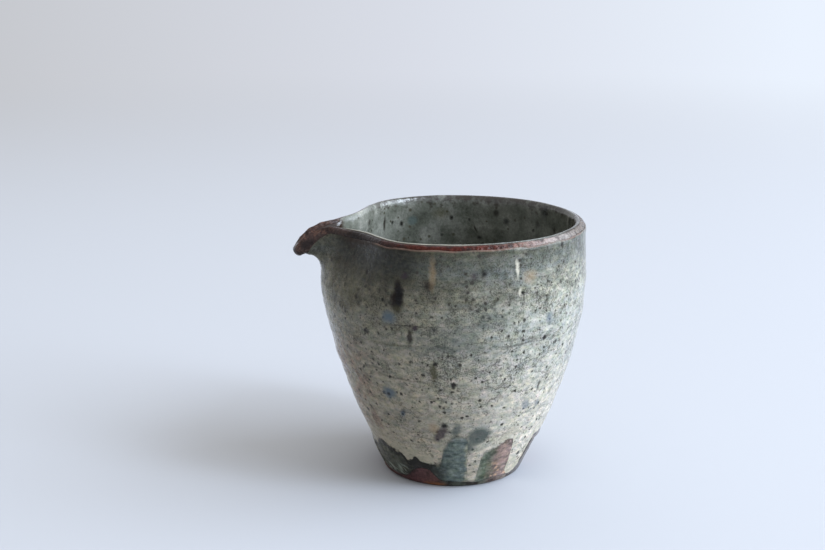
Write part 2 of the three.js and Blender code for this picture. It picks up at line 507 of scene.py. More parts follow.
def sway(tree, vector, scale, detail, factors):
    """A noise from -0.5 to 0.5, times each factor."""
    noise = add(tree, "ShaderNodeTexNoise", {"Vector": vector, "Scale": scale, "Detail": detail})
    value = add(tree, "ShaderNodeMath", [noise, 0.5], operation="SUBTRACT")
    for factor in factors:
        value = add(tree, "ShaderNodeMath", [value, factor], operation="MULTIPLY")
    return value


print(f"rings {hand_sizes['Ring Depth']} mm deep, a wobble of {hand_sizes['Wobble']} mm")


# %% The wall as a node group
def wall_point():
    tree, given, result = new_tree(
        "Wall Point",
        {"Section": GEOMETRY, "Place": 0.0, "Angle": 0.0, "Out": 0.0, **hand_sizes},
        {"Position": VECTOR, "Height": NUMBER},
    )
    low = add(tree, "ShaderNodeMath", [given["Place"]], operation="FLOOR")
    high = add(tree, "ShaderNodeMath", [low, 1.0], operation="ADD")
    share = add(tree, "ShaderNodeMath", [given["Place"], low], operation="SUBTRACT")

    def on_section(value):
        """The section's arrow or point at the place, between its two nearest points."""
        near, far = [
            add(
                tree,
                "GeometryNodeSampleIndex",
                {"Geometry": given["Section"], "Value": value, "Index": index},
                data_type="FLOAT_VECTOR",
                clamp=True,
            )
            for index in (low, high)
        ]
        return add(tree, "ShaderNodeMix", {0: share, 4: near, 5: far}, data_type="VECTOR")

    place = on_section(add(tree, "GeometryNodeInputPosition"))
    outward = on_section(
        add(tree, "GeometryNodeInputNamedAttribute", {"Name": "outward"}, data_type="FLOAT_VECTOR")
    )
    strength = on_section(add(tree, "GeometryNodeInputNamedAttribute", {"Name": "rings"}, data_type="FLOAT"))
    strength = add(tree, "ShaderNodeSeparateXYZ", [strength])

    radians = add(tree, "ShaderNodeMath", [given["Angle"]], operation="RADIANS")
    cosine = add(tree, "ShaderNodeMath", [radians], operation="COSINE")
    sine = add(tree, "ShaderNodeMath", [radians], operation="SINE")
    along = add(tree, "ShaderNodeMath", [given["Place"], wall_step], operation="MULTIPLY")
    rings_up = add(tree, "ShaderNodeMath", [along, given["Ring Spacing"]], operation="DIVIDE")
    ring_vector = add(tree, "ShaderNodeCombineXYZ", [cosine, sine, rings_up])
    ring_vector = add(tree, "ShaderNodeVectorMath", [ring_vector, ring_stretch], operation="MULTIPLY")
    ring = sway(tree, ring_vector, 1.0, 3.0, (strength, given["Ring Depth"]))
    out = add(tree, "ShaderNodeMath", [ring, ring_gain, given["Out"]], operation="MULTIPLY_ADD")
    # the beak's upper side is a thick pad of clay
    pad = bell(tree, given["Angle"], 0.0, given["Beak Angle"])
    for start, end in (pad_rises, pad_falls):
        pad = add(tree, "ShaderNodeMath", [pad, fade(tree, given["Place"], start, end)], operation="MULTIPLY")
    out = add(tree, "ShaderNodeMath", [pad, given["Beak Thickness"], out], operation="MULTIPLY_ADD")
    moved = add(tree, "ShaderNodeVectorMath", {0: outward, "Scale": out}, operation="SCALE")
    moved = add(tree, "ShaderNodeVectorMath", [place, moved], operation="ADD")
    parts = add(tree, "ShaderNodeSeparateXYZ", [moved])
    pulled = add(
        tree,
        "GeometryNodeGroup",
        {"Radius": parts.outputs["X"], "Height": parts.outputs["Z"], "Angle": given["Angle"]},
        node_tree=pulled_rim_tree,
    )

    slow_height = add(tree, "ShaderNodeMath", [parts.outputs["Z"], wobble_height], operation="DIVIDE")
    moves = []
    for label, up in (("Wobble", slow_height), ("Rim Wobble", rim_noise_level)):
        scale, detail, low, high = wobbles[label]
        vector = add(tree, "ShaderNodeCombineXYZ", [cosine, sine, up])
        share = fade(tree, parts.outputs["Z"], low, high)
        moves.append(sway(tree, vector, scale, detail, (given[label], share)))
    radius = add(tree, "ShaderNodeMath", [pulled.outputs["Radius"], moves[0]], operation="ADD")
    radius = add(tree, "ShaderNodeMath", [radius, 0.0], operation="MAXIMUM")
    height = add(tree, "ShaderNodeMath", [pulled.outputs["Height"], moves[1]], operation="ADD")

    forward = add(tree, "ShaderNodeMath", [radius, cosine], operation="MULTIPLY")
    x = add(tree, "ShaderNodeMath", [axis_x, forward], operation="SUBTRACT")
    sideways = add(tree, "ShaderNodeMath", [radius, sine], operation="MULTIPLY")
    y = add(tree, "ShaderNodeMath", [0.0, sideways], operation="SUBTRACT")
    position = add(tree, "ShaderNodeCombineXYZ", [x, y, height])
    position = add(tree, "ShaderNodeVectorMath", {0: position, "Scale": 1 / METRE}, operation="SCALE")
    tree.links.new(position.outputs[0], result["Position"])
    tree.links.new(parts.outputs["Z"], result["Height"])
    return tree


wall_point_tree = wall_point()
print(f"wall point: {len(wall_point_tree.nodes)} nodes")

# %% [markdown]
# ## The clay body and the coats
#
# The clay is a grid with one column for each step round the axis and one row for each point of the section.
# Its two end columns meet behind the bowl, where Merge by Distance closes the seam and the two poles on the
# axis. A coat is a grid too. Its rows run along its free face from one edge to the other and come back
# along the clay, so it is a closed skin of real glass. Where it ends is a curve drawn against the angle:
# the potter poured the glaze, so the lower edge is a line of runs and bays.

# %% What the trees share
columns = 288
seam_gap = 0.01


def grid_place(tree, column_count, row_count):
    """Each point's row and its angle, from -180 to 180 degrees, in a grid of columns round the bowl."""
    index = add(tree, "GeometryNodeInputIndex")
    middle = add(tree, "ShaderNodeMath", [index, 0.5], operation="ADD")
    column = add(tree, "ShaderNodeMath", [middle, row_count], operation="DIVIDE")
    column = add(tree, "ShaderNodeMath", [column], operation="FLOOR")
    before = add(tree, "ShaderNodeMath", [column, row_count], operation="MULTIPLY")
    row = add(tree, "ShaderNodeMath", [index, before], operation="SUBTRACT")
    share = add(tree, "ShaderNodeMath", [column, column_count], operation="DIVIDE")
    angle = add(tree, "ShaderNodeMath", [share, 360.0, -180.0], operation="MULTIPLY_ADD")
    return row, angle


def finish_tree(tree, given, result, grid, angle, place, out):
    """Puts the grid on the wall, writes the map that materials read, closes the mesh and gives a material."""
    wall = add(tree, "GeometryNodeGroup", node_tree=wall_point_tree)
    tree.links.new(given["Section"], wall.inputs["Section"])
    for label, value in (("Place", place), ("Angle", angle), ("Out", out)):
        if isinstance(value, float):
            wall.inputs[label].default_value = value
        else:
            tree.links.new(value.outputs[0], wall.inputs[label])
    heights = add(
        tree,
        "GeometryNodeStoreNamedAttribute",
        {"Geometry": grid.outputs["Mesh"], "Name": "height", "Value": wall.outputs["Height"]},
        data_type="FLOAT",
        domain="POINT",
    )
    placed = add(tree, "GeometryNodeSetPosition", {"Geometry": heights, "Position": wall.outputs["Position"]})
    across = add(tree, "ShaderNodeSeparateXYZ", [grid.outputs["UV Map"]])
    degrees = add(tree, "ShaderNodeMath", [across.outputs["X"], 360.0, -180.0], operation="MULTIPLY_ADD")
    height = add(tree, "GeometryNodeInputNamedAttribute", {"Name": "height"}, data_type="FLOAT")
    unrolled = add(tree, "ShaderNodeCombineXYZ", [degrees, height])
    mapped = add(
        tree,
        "GeometryNodeStoreNamedAttribute",
        {"Geometry": placed, "Name": "unrolled", "Value": unrolled},
        data_type="FLOAT2",
        domain="CORNER",
    )
    closed = add(tree, "GeometryNodeMergeByDistance", {"Geometry": mapped, "Distance": seam_gap / METRE})
    smoothed = add(tree, "GeometryNodeSetShadeSmooth", {"Geometry": closed, "Shade Smooth": True})
    real = add(tree, "GeometryNodeRealizeInstances", {"Geometry": smoothed})
    coated = add(tree, "GeometryNodeSetMaterial", {"Geometry": real, "Material": given["Material"]})
    tree.links.new(coated.outputs[0], result["Mesh"])


print(f"{columns} columns round the bowl")


# %% The clay's tree
def thrown_clay():
    tree, given, result = new_tree(
        "Thrown Clay",
        {"Section": GEOMETRY, "Columns": columns, "Material": "NodeSocketMaterial"},
        {"Mesh": GEOMETRY},
    )
    points = add(tree, "GeometryNodeAttributeDomainSize", {"Geometry": given["Section"]}, component="MESH")
    rows = points.outputs["Point Count"]
    lines = add(tree, "ShaderNodeMath", [given["Columns"], 1.0], operation="ADD")
    grid = add(tree, "GeometryNodeMeshGrid", [1.0, 1.0, lines, rows])
    row, angle = grid_place(tree, given["Columns"], rows)
    finish_tree(tree, given, result, grid, angle, row, 0.0)
    return tree


clay_tree = thrown_clay()
print(f"{clay_tree.name}: {len(clay_tree.nodes)} nodes")


# %% An edge as a curve
least_span = 0.001


def edge_curve(tree, angle, points):
    """The place of an edge at each angle, drawn as a smooth curve through its points."""
    low = min(place for _, place in points)
    span = max(max(place for _, place in points) - low, least_span)
    share = add(tree, "ShaderNodeMapRange", [angle, -180.0, 180.0, 0.0, 1.0])
    drawn = add(tree, "ShaderNodeFloatCurve", {"Value": share})
    curve = drawn.mapping.curves[0]
    shares = [((degrees + 180) / 360, (place - low) / span) for degrees, place in points]
    for _ in range(len(shares) - 2):
        curve.points.new(0.5, 0.5)
    for point, location in zip(curve.points, shares):
        point.location = location
        point.handle_type = "AUTO_CLAMPED"
    drawn.mapping.update()
    return add(tree, "ShaderNodeMath", [drawn, span, low], operation="MULTIPLY_ADD")


print("an edge is drawn from -180 to 180 degrees, so both of its ends lie behind the bowl")

# %% A coat's tree
flow_scale = 9.0
rows_beyond_steps = 3.0
half_row = 0.5


def poured_coat(name, sizes, start_edge, end_edge):
    tree, given, result = new_tree(
        name, {"Section": GEOMETRY, **sizes, "Material": "NodeSocketMaterial"}, {"Mesh": GEOMETRY}
    )
    # each face has one row of points more than it has steps, and a last row closes the skin
    both = add(tree, "ShaderNodeMath", [given["Free Rows"], given["Back Rows"]], operation="ADD")
    rows = add(tree, "ShaderNodeMath", [both, rows_beyond_steps], operation="ADD")
    lines = add(tree, "ShaderNodeMath", [given["Columns"], 1.0], operation="ADD")
    grid = add(tree, "GeometryNodeMeshGrid", [1.0, 1.0, lines, rows])
    row, angle = grid_place(tree, given["Columns"], rows)
    # how far a point is from the start edge: out along the free face and back along the clay
    free_share = add(tree, "ShaderNodeMath", [row, given["Free Rows"]], operation="DIVIDE")
    back_row = add(tree, "ShaderNodeMath", [row, given["Free Rows"]], operation="SUBTRACT")
    back_row = add(tree, "ShaderNodeMath", [back_row, 1.0], operation="SUBTRACT")
    back_share = add(tree, "ShaderNodeMath", [back_row, given["Back Rows"]], operation="DIVIDE")
    back_share = add(tree, "ShaderNodeMath", [1.0, back_share], operation="SUBTRACT")
    on_free = add(tree, "ShaderNodeMath", [row, given["Free Rows"]], operation="SUBTRACT")
    on_free = add(tree, "ShaderNodeMath", [on_free, half_row], operation="LESS_THAN")
    share = add(tree, "ShaderNodeMix", {0: on_free, 2: back_share, 3: free_share}, data_type="FLOAT")
    share = add(tree, "ShaderNodeMath", [share, 0.0], operation="MAXIMUM")
    # rows are counted from 0, so the last one lies half a row past this mark
    before_last = rows_beyond_steps - 1 - half_row
    last_row = add(tree, "ShaderNodeMath", [both, before_last], operation="ADD")
    closing = add(tree, "ShaderNodeMath", [row, last_row], operation="GREATER_THAN")
    free = add(tree, "ShaderNodeMath", [on_free, closing], operation="MAXIMUM")
    start = edge_curve(tree, angle, start_edge)
    end = edge_curve(tree, angle, end_edge)
    place = add(tree, "ShaderNodeMix", {0: share, 2: start, 3: end}, data_type="FLOAT")
    # a coat is thin along its edges, and surface tension rolls it up just inside them
    from_start = add(tree, "ShaderNodeMath", [place, start], operation="SUBTRACT")
    from_end = add(tree, "ShaderNodeMath", [end, place], operation="SUBTRACT")
    from_end = add(tree, "ShaderNodeMath", [from_end, given["End Fade"]], operation="DIVIDE")
    nearest = add(tree, "ShaderNodeMath", [from_start, from_end], operation="MINIMUM")
    distance = add(tree, "ShaderNodeMath", [nearest, wall_step], operation="MULTIPLY")
    full = fade(tree, distance, 0.0, given["Edge Width"])
    extra = add(tree, "ShaderNodeMath", [given["Thickness"], given["Edge Thickness"]], operation="SUBTRACT")
    body = add(tree, "ShaderNodeMath", [full, extra, given["Edge Thickness"]], operation="MULTIPLY_ADD")
    roll_distance = add(tree, "ShaderNodeMath", [from_start, wall_step], operation="MULTIPLY")
    roll = bell(tree, roll_distance, given["Edge Width"], given["Edge Width"])
    body = add(tree, "ShaderNodeMath", [roll, given["Edge Roll"], body], operation="MULTIPLY_ADD")
    radians = add(tree, "ShaderNodeMath", [angle], operation="RADIANS")
    cosine = add(tree, "ShaderNodeMath", [radians], operation="COSINE")
    sine = add(tree, "ShaderNodeMath", [radians], operation="SINE")
    up = add(tree, "ShaderNodeMath", [place, wall_step / belly_radius], operation="MULTIPLY")
    around = add(tree, "ShaderNodeCombineXYZ", [cosine, sine, up])
    uneven = sway(tree, around, flow_scale, 3.0, (given["Unevenness"], full))
    body = add(tree, "ShaderNodeMath", [body, uneven], operation="ADD")
    out = add(tree, "ShaderNodeMath", [body, free, given["Seat"]], operation="MULTIPLY_ADD")
    finish_tree(tree, given, result, grid, angle, place, out)
    return tree


print(f"a coat's thickness varies about {flow_scale:.0f} times in a length of {belly_radius:.0f} mm")

# %% [markdown]
# ## Edges of the coats
#
# These are the lines that the potter's pouring left. Each is a short list of points, and each point starts
# with its degrees from the middle of the spout, positive on the side that faces the camera. The outer
# coat's lower edge is in millimetres above the table. Its top edge is in millimetres below the lip's
# middle, so a number under 0 lies on the lip. The liner's edge is in steps of the section over the lip.

# %% Edges of the coats
glaze_edge = [
    (-180, 7.5), (-155, 12.5), (-135, 9), (-117, 4.5), (-100, 10), (-80, 13), (-60, 8.5), (-40, 11.5),
    (-20, 6), (0, 9), (15, 6), (28, 2.4), (40, 2.0), (45, 2.4), (49, 3.4), (53, 5.2), (57.4, 6.6),
    (62, 7.2), (66, 6.9), (69, 5.6), (72, 3.6), (76, 2.6), (93, 2.2), (103, 1.8), (109, 2.2), (116, 2.6),
    (123, 2.4), (130, 2.2), (135, 3.4), (139, 6), (147, 13), (165, 11), (180, 7.5),
]
band_edge = [
    (-180, -0.2), (-140, 0.0), (-90, -0.3), (-50, 0.0), (-36, 0.2), (-22, 0.3), (-12, 0.4), (-6, 1.4),
    (0, 2.4), (6, 1.4), (12, 0.4), (20, 0.4), (28, 0.3), (33, 0.1), (38, -0.1), (46, -0.4), (53, -0.2),
    (60, -0.5), (68, -0.35), (75, -0.55), (83, -0.3), (91, -0.5), (99, -0.4), (107, -0.6), (116, -0.3),
    (126, -0.5), (140, -0.2), (180, -0.2),
]
inner_edge = [
    (-180, 7.6), (-120, 8.0), (-60, 7.6), (-24, 7.8), (-13, 9), (-7, 14), (0, 17), (7, 14), (13, 9),
    (24, 7.9), (50, 7.9), (90, 7.8), (130, 8.0), (180, 7.6),
]

outer_start = [(degrees, outside_place(height)) for degrees, height in glaze_edge]
outer_end = [(degrees, outside_place(lip_height - width)) for degrees, width in band_edge]
inner_start = [(degrees, first_lip + steps) for degrees, steps in inner_edge]
inner_end = [(-180, last_place), (180, last_place)]
poured = [height for _, height in glaze_edge]
print(f"the outer coat ends {min(poured)} to {max(poured)} mm above the table")

# %% Sizes of the coats
outer_sizes = {
    "Columns": columns,
    "Free Rows": 230,
    "Back Rows": 24,
    "Thickness": 0.5,
    "Edge Thickness": 0.15,
    "Edge Width": 1.2,
    "Edge Roll": 0.25,
    "End Fade": 1.0,
    "Unevenness": 0.25,
    "Seat": 0.05,
}
inner_sizes = {
    "Columns": columns,
    "Free Rows": 150,
    "Back Rows": 24,
    "Thickness": 0.4,
    "Edge Thickness": 0.15,
    "Edge Width": 1.0,
    "Edge Roll": 0.1,
    "End Fade": 0.1,
    "Unevenness": 0.2,
    "Seat": 0.05,
}
print("thickness of the coats in mm:", outer_sizes["Thickness"], inner_sizes["Thickness"])


# %% Building the pieces
def new_material(name):
    material = bpy.data.materials.new(name)
    material.use_nodes = True
    material.node_tree.nodes.clear()
    return material


def made_piece(name, tree, sizes, material):
    """Runs a tree on the section and keeps its result as a plain mesh."""
    piece = section_object(name)
    modifier = piece.modifiers.new("form", "NODES")
    modifier.node_group = tree
    for item in tree.interface.items_tree:
        if item.in_out == "INPUT" and item.name in sizes:
            modifier[item.identifier] = sizes[item.name]
        if item.in_out == "INPUT" and item.name == "Material":
            modifier[item.identifier] = material
    bpy.context.view_layer.update()
    graph = bpy.context.evaluated_depsgraph_get()
    mesh = bpy.data.meshes.new_from_object(piece.evaluated_get(graph), depsgraph=graph)
    piece.modifiers.remove(modifier)
    # an edge without a face can be left where a pole was merged
    form = bmesh.new()
    form.from_mesh(mesh)
    bmesh.ops.delete(form, geom=[edge for edge in form.edges if not edge.link_faces], context="EDGES")
    form.to_mesh(mesh)
    print(f"{name}: {len(form.faces)} faces, {form.calc_volume(signed=True) * METRE**3:.0f} cubic mm")
    form.free()
    mesh.name = name
    piece.data = mesh
    return piece


stoneware = new_material("fired_iron_clay")
slip_glaze = new_material("ash_glaze_over_slip")
liner = new_material("liner_ash_glaze")
clay_body = made_piece("thrown_clay", clay_tree, {"Columns": columns}, stoneware)
outer_tree = poured_coat("Poured Outer Coat", outer_sizes, outer_start, outer_end)
outer_coat = made_piece("outer_slip_and_glaze", outer_tree, outer_sizes, slip_glaze)
inner_tree = poured_coat("Poured Liner", inner_sizes, inner_start, inner_end)
inner_coat = made_piece("liner_glaze_coat", inner_tree, inner_sizes, liner)

# %% [markdown]
# ## Marks of the kiln
#
# Iron melted through the glaze in spots, ash fell on it, and thick glaze ran in drips. Each mark that can
# be told apart in the photograph is in a list: the pixel of its middle, its width and height in
# millimetres, its tilt in degrees, its pigment, how soft its edge is, and how strongly it covers. A ray
# from the camera through the pixel finds its place on the unrolled wall, so a mark stays on the wall
# whatever the camera does later.

# %% Colours and marks
photo_height = 550
reference_radius = 36.0
mm_per_degree = math.radians(1) * reference_radius


def colour(text):
    """An sRGB colour such as #8a7b66, as the linear numbers that a material wants."""
    parts = [int(text[i : i + 2], 16) / 255 for i in (1, 3, 5)]
    return (*[part / 12.92 if part <= 0.04045 else ((part + 0.055) / 1.055) ** 2.4 for part in parts], 1.0)


pigments = {
    "iron brown": "#1d140d",
    "iron black": "#0e0c0b",
    "iron purple": "#3b3039",
    "rust tan": "#9a8364",
    "rust": "#9a6238",
    "blue ash": "#5a6b7a",
    "grey green": "#525d5b",
    "olive glass": "#4c4a34",
    # the white of the painted glints
    "glint white": "#d8d4c6",
}
print(f"{len(pigments)} pigments")

# %% Marks outside
outer_marks = {
    "tall melt": ((396, 300), 4.4, 6.8, 0, "iron brown", 0.3, 1.0),
    "tall melt's point": ((397, 290), 2.4, 6.6, 0, "iron brown", 0.35, 1.0),
    "tall melt's core": ((398, 296), 2.6, 7.0, 0, "iron black", 0.5, 1.0),
    "melt's tail": ((397, 309), 3.0, 2.4, 0, "olive glass", 0.7, 0.6),
    "blue blot": ((388, 317), 4.4, 3.8, 0, "blue ash", 0.5, 0.85),
    "hairline": ((410, 326), 16.0, 0.6, 2, "iron black", 0.7, 0.6),
    "dark streak": ((409, 336), 1.7, 5.8, 0, "iron brown", 0.5, 0.85),
    "purple dot": ((414, 328), 1.8, 1.7, 0, "iron purple", 0.4, 0.9),
    "olive drip": ((433, 372), 2.0, 6.8, 0, "olive glass", 0.5, 0.85),
    "drip's head": ((435, 364), 1.3, 1.3, 0, "iron black", 0.4, 0.9),
    "brown mark": ((428, 286), 2.4, 3.0, 0, "iron brown", 0.5, 0.8),
    "tan streak": ((432, 273), 1.6, 8.0, 0, "rust tan", 0.8, 0.6),
    "purple spot": ((404, 275), 2.1, 1.8, 0, "iron purple", 0.5, 0.8),
    "left spot": ((358, 303), 2.2, 2.0, 0, "iron black", 0.6, 0.7),
    "left lower spot": ((366, 331), 2.0, 1.8, 0, "iron black", 0.5, 0.8),
    "left dot": ((382, 299), 1.1, 1.1, 0, "iron black", 0.4, 0.9),
    "upper right spot": ((484, 274), 1.8, 2.2, 0, "iron black", 0.6, 0.85),
    "upper right cloud": ((473, 276), 2.6, 2.4, 0, "iron purple", 0.7, 0.6),
    # painted glints of the window: small white points on the right wall
    "white painted glint": ((517, 268), 1.0, 5.4, 4, "glint white", 0.5, 0.9),
    "small white painted glint": ((520, 291), 1.0, 2.4, 0, "glint white", 0.5, 0.8),
    "tan cloud": ((530, 276), 3.6, 3.4, 0, "rust tan", 0.8, 0.6),
    "dot in the tan cloud": ((523, 292), 1.2, 1.2, 0, "iron black", 0.4, 0.9),
    "right crack": ((547, 298), 1.2, 6.0, -20, "iron brown", 0.7, 0.6),
    "right blue blot": ((549, 317), 2.6, 3.4, 0, "blue ash", 0.7, 0.7),
    "brush line 1": ((398, 378), 16.0, 0.6, -3, "iron black", 0.8, 0.5),
    "brush line 2": ((455, 349), 18.0, 1.6, 2, "grey green", 0.9, 0.45),
    "brush line 3": ((522, 343), 12.0, 0.7, 8, "iron black", 0.8, 0.5),
    "brush line 4": ((462, 302), 22.0, 0.8, 1, "olive glass", 0.9, 0.4),
    "brush line 5": ((390, 344), 14.0, 0.7, 2, "olive glass", 0.9, 0.5),
    "low blue blot": ((389, 392), 4.4, 4.0, 0, "blue ash", 0.5, 0.9),
    "dot in the low blot": ((388, 393), 1.4, 1.3, 0, "iron black", 0.5, 0.8),
    "low dot": ((402, 413), 1.9, 1.6, 0, "blue ash", 0.5, 0.85),
    "dot in the low dot": ((402, 413), 1.0, 0.9, 0, "iron black", 0.5, 0.8),
    "right drip": ((538, 384), 0.9, 4.2, 0, "iron brown", 0.6, 0.8),
    "purple mark": ((440, 434), 3.0, 7.4, -32, "iron purple", 0.35, 0.85),
    "dot on the purple mark": ((444, 425), 1.9, 1.8, 0, "iron black", 0.4, 0.95),
    "orange spot": ((433, 428), 2.6, 3.4, 0, "rust tan", 0.7, 0.6),
    "round ash patch": ((478, 436), 7.4, 6.4, 15, "grey green", 0.25, 0.9),
    "small ash patch": ((456, 430), 2.9, 4.2, -30, "grey green", 0.4, 0.8),
    "patch above the pool": ((463, 447), 8.0, 4.6, 0, "grey green", 0.4, 0.85),
    "right ash patch": ((525, 404), 3.0, 3.8, 10, "blue ash", 0.4, 0.6),
    "right small ash patch": ((536, 402), 1.6, 3.0, 0, "blue ash", 0.5, 0.5),
    "ash cloud": ((449, 339), 13.0, 6.0, 2, "grey green", 0.95, 0.5),
    "second ash cloud": ((492, 318), 15.0, 5.0, 4, "grey green", 0.95, 0.35),
    # painted shade on the left side, which faces away from the window
    "left painted shade": ((350, 291), 8.0, 9.0, 0, "olive glass", 0.95, 0.45),
    "lower left painted shade": ((352, 330), 7.0, 4.0, -5, "olive glass", 0.95, 0.4),
}
print(f"{len(outer_marks)} marks outside")

# %% Marks inside
liner_marks = {
    "liner drip": ((384, 223), 1.3, 5.2, 0, "iron brown", 0.5, 0.85),
    "liner blot": ((412, 220), 4.0, 3.4, 0, "grey green", 0.3, 0.9),
    "liner blot's spot": ((401, 223), 1.7, 1.9, 0, "iron black", 0.5, 0.9),
    "liner cloud": ((440, 213), 5.4, 3.4, 0, "olive glass", 0.7, 0.6),
    "liner spot 1": ((392, 222), 1.3, 1.3, 0, "iron black", 0.5, 0.85),
    "liner spot 2": ((451, 217), 1.7, 1.7, 0, "iron black", 0.5, 0.9),
    "liner spot 3": ((469, 219), 1.0, 1.0, 0, "iron black", 0.5, 0.85),
    "liner spot 4": ((441, 234), 1.1, 1.1, 0, "iron black", 0.5, 0.85),
    "liner spot 5": ((479, 237), 1.5, 1.4, 0, "iron black", 0.5, 0.85),
    "liner streak": ((475, 228), 0.8, 2.8, -20, "iron brown", 0.5, 0.8),
    "large spot": ((544, 212), 3.6, 4.0, 0, "iron black", 0.6, 0.85),
    "liner spot 6": ((506, 221), 2.3, 2.4, 0, "iron black", 0.5, 0.9),
    "liner spot 7": ((537, 224), 2.0, 2.2, 0, "iron brown", 0.6, 0.8),
    "liner spot 8": ((554, 230), 1.8, 2.4, 0, "iron brown", 0.6, 0.8),
    "liner spot 9": ((569, 222), 3.0, 3.4, 0, "iron black", 0.6, 0.8),
}
print(f"{len(liner_marks)} marks inside")


# %% The marks' places
def wall_at(piece, pixel):
    """The degrees and the height on a piece at a pixel of the photograph."""
    across = (pixel[0] + 0.5 - photo_width / 2) / focal_length_px
    down = (pixel[1] + 0.5 - photo_height / 2) / focal_length_px
    direction = camera.matrix_world.to_3x3() @ Vector((across, -down, -1))
    found, hit, _, face = piece.ray_cast(camera.location, direction)
    if not found:
        raise ValueError(f"no wall of {piece.name} at pixel {pixel}")
    polygon = piece.data.polygons[face]
    shares = poly_3d_calc([piece.data.vertices[i].co for i in polygon.vertices], hit)
    unrolled = piece.data.attributes["unrolled"].data
    places = [unrolled[i].vector * share for i, share in zip(polygon.loop_indices, shares)]
    return sum(places, Vector((0, 0)))


bpy.context.view_layer.update()
for name, mark in (*outer_marks.items(), *liner_marks.items()):
    degrees, height = wall_at(inner_coat if name in liner_marks else outer_coat, mark[0])
    print(f"{name}: {degrees:.0f} degrees, {height:.0f} mm up")

# %% [markdown]
# ## Places and noises
#
# Every material reads the same places: millimetres in space from the object's own coordinates, and degrees
# and height from the map that the geometry tree wrote. Such a map could carry painted pictures. Here each
# pattern is made of a few nodes with sizes in real millimetres instead, so it stays sharp in a close view.


# %% Places and noises
def pot_places(tree):
    """Millimetres in space, degrees from the spout, and the height."""
    own = add(tree, "ShaderNodeTexCoord")
    space = add(tree, "ShaderNodeVectorMath", {0: own.outputs["Object"], "Scale": METRE}, operation="SCALE")
    unrolled = add(tree, "ShaderNodeSeparateXYZ", [add(tree, "ShaderNodeUVMap", uv_map="unrolled")])
    return space, unrolled.outputs["X"], unrolled.outputs["Y"]


ripple_waves = 0.55


def unrolled_mm(tree, space, degrees, height, warp):
    """Millimetres on the unrolled wall, warped a little so that no mark has a drawn outline."""
    across = add(tree, "ShaderNodeMath", [degrees, mm_per_degree], operation="MULTIPLY")
    flat = add(tree, "ShaderNodeCombineXYZ", [across, height])
    ripple = add(
        tree, "ShaderNodeTexNoise", {"Vector": space, "Scale": ripple_waves, "Detail": 4.0, "Roughness": 0.6}
    )
    ripple = add(
        tree, "ShaderNodeVectorMath", [ripple.outputs["Color"], (0.5, 0.5, 0.5)], operation="SUBTRACT"
    )
    ripple = add(tree, "ShaderNodeVectorMath", [ripple, (warp, warp, 0.0)], operation="MULTIPLY")
    return add(tree, "ShaderNodeVectorMath", [flat, ripple], operation="ADD")


def noise_fields(tree, space, fields):
    """A table's noises: waves per millimetre in x, y and z, then detail, roughness and distortion."""
    made = []
    for waves, detail, roughness, distortion in fields.values():
        place = add(tree, "ShaderNodeVectorMath", [space, waves], operation="MULTIPLY")
        settings = {"Scale": 1.0, "Detail": detail, "Roughness": roughness, "Distortion": distortion}
        made.append(add(tree, "ShaderNodeTexNoise", {"Vector": place, **settings}))
    return made


def warped(tree, space, noise, millimetres):
    """Places moved about by a noise, so that spots and cells there lose their even outlines."""
    moved = add(
        tree, "ShaderNodeVectorMath", {0: noise.outputs["Color"], "Scale": millimetres}, operation="SCALE"
    )
    return add(tree, "ShaderNodeVectorMath", [space, moved], operation="ADD")


print(f"one degree is {mm_per_degree:.2f} mm on the unrolled wall")

# %% [markdown]
# ## Spots, zones and layers
#
# The finishes are built like real ones, in layers. A spot, a zone or a noise says how much of a layer there
# is at a place, and the layer is laid over what is below it. Grain works in another way: it multiplies a
# colour. A mark is an ellipse on the unrolled wall, and one function at the end gives each material its
# shader.


# %% Spots and zones
spot_least = 0.6
spot_span = 0.8


def spots(tree, space, spacing, share, radius, softness=0.35):
    """Round spots of about one radius, strewn at a spacing. Only a share of the places has a spot."""
    cells = add(tree, "ShaderNodeTexVoronoi", {"Vector": space, "Scale": 1 / spacing})
    random = add(tree, "ShaderNodeSeparateColor", [cells.outputs["Color"]])
    size = add(tree, "ShaderNodeMath", [random.outputs[1], spot_span, spot_least], operation="MULTIPLY_ADD")
    size = add(tree, "ShaderNodeMath", [size, radius / spacing], operation="MULTIPLY")
    outer = add(tree, "ShaderNodeMath", [size, 1 + softness], operation="MULTIPLY")
    inner = add(tree, "ShaderNodeMath", [size, 1 - softness], operation="MULTIPLY")
    shape = add(tree, "ShaderNodeMapRange", [cells.outputs["Distance"], outer, inner, 0.0, 1.0])
    kept = add(tree, "ShaderNodeMath", [random.outputs[0], share], operation="LESS_THAN")
    return add(tree, "ShaderNodeMath", [shape, kept], operation="MULTIPLY")


def zone(tree, degrees, height, angles, heights, soft_degrees, soft_height, strength=1.0):
    """A strength in a patch of the wall between two angles and two heights. Its sides are soft."""
    for value, (low, high), soft in ((degrees, angles, soft_degrees), (height, heights, soft_height)):
        for middle, side in ((low, soft), (high, -soft)):
            share = fade(tree, value, middle - side, middle + side)
            strength = add(tree, "ShaderNodeMath", [strength, share], operation="MULTIPLY")
    return strength


print(f"a spot has {spot_least:.1f} to {spot_least + spot_span:.1f} times its radius")


# %% Lines of colour and layers
def colours_along(tree, value, stops):
    """The colour at a value, blended between stops of a value and a colour."""
    share = add(tree, "ShaderNodeMapRange", [value, float(stops[0][0]), float(stops[-1][0]), 0.0, 1.0])
    ramp = add(tree, "ShaderNodeValToRGB", [share])
    elements = ramp.color_ramp.elements
    for _ in stops[2:]:
        elements.new(0.5)
    for element, (place, text) in zip(elements, stops):
        element.position = (place - stops[0][0]) / (stops[-1][0] - stops[0][0])
        element.color = colour(text)
    return ramp


def weighted_sum(tree, start, parts):
    """A start value plus several values, each times its weight."""
    for value, weight in parts:
        start = add(tree, "ShaderNodeMath", [value, weight, start], operation="MULTIPLY_ADD")
    return start


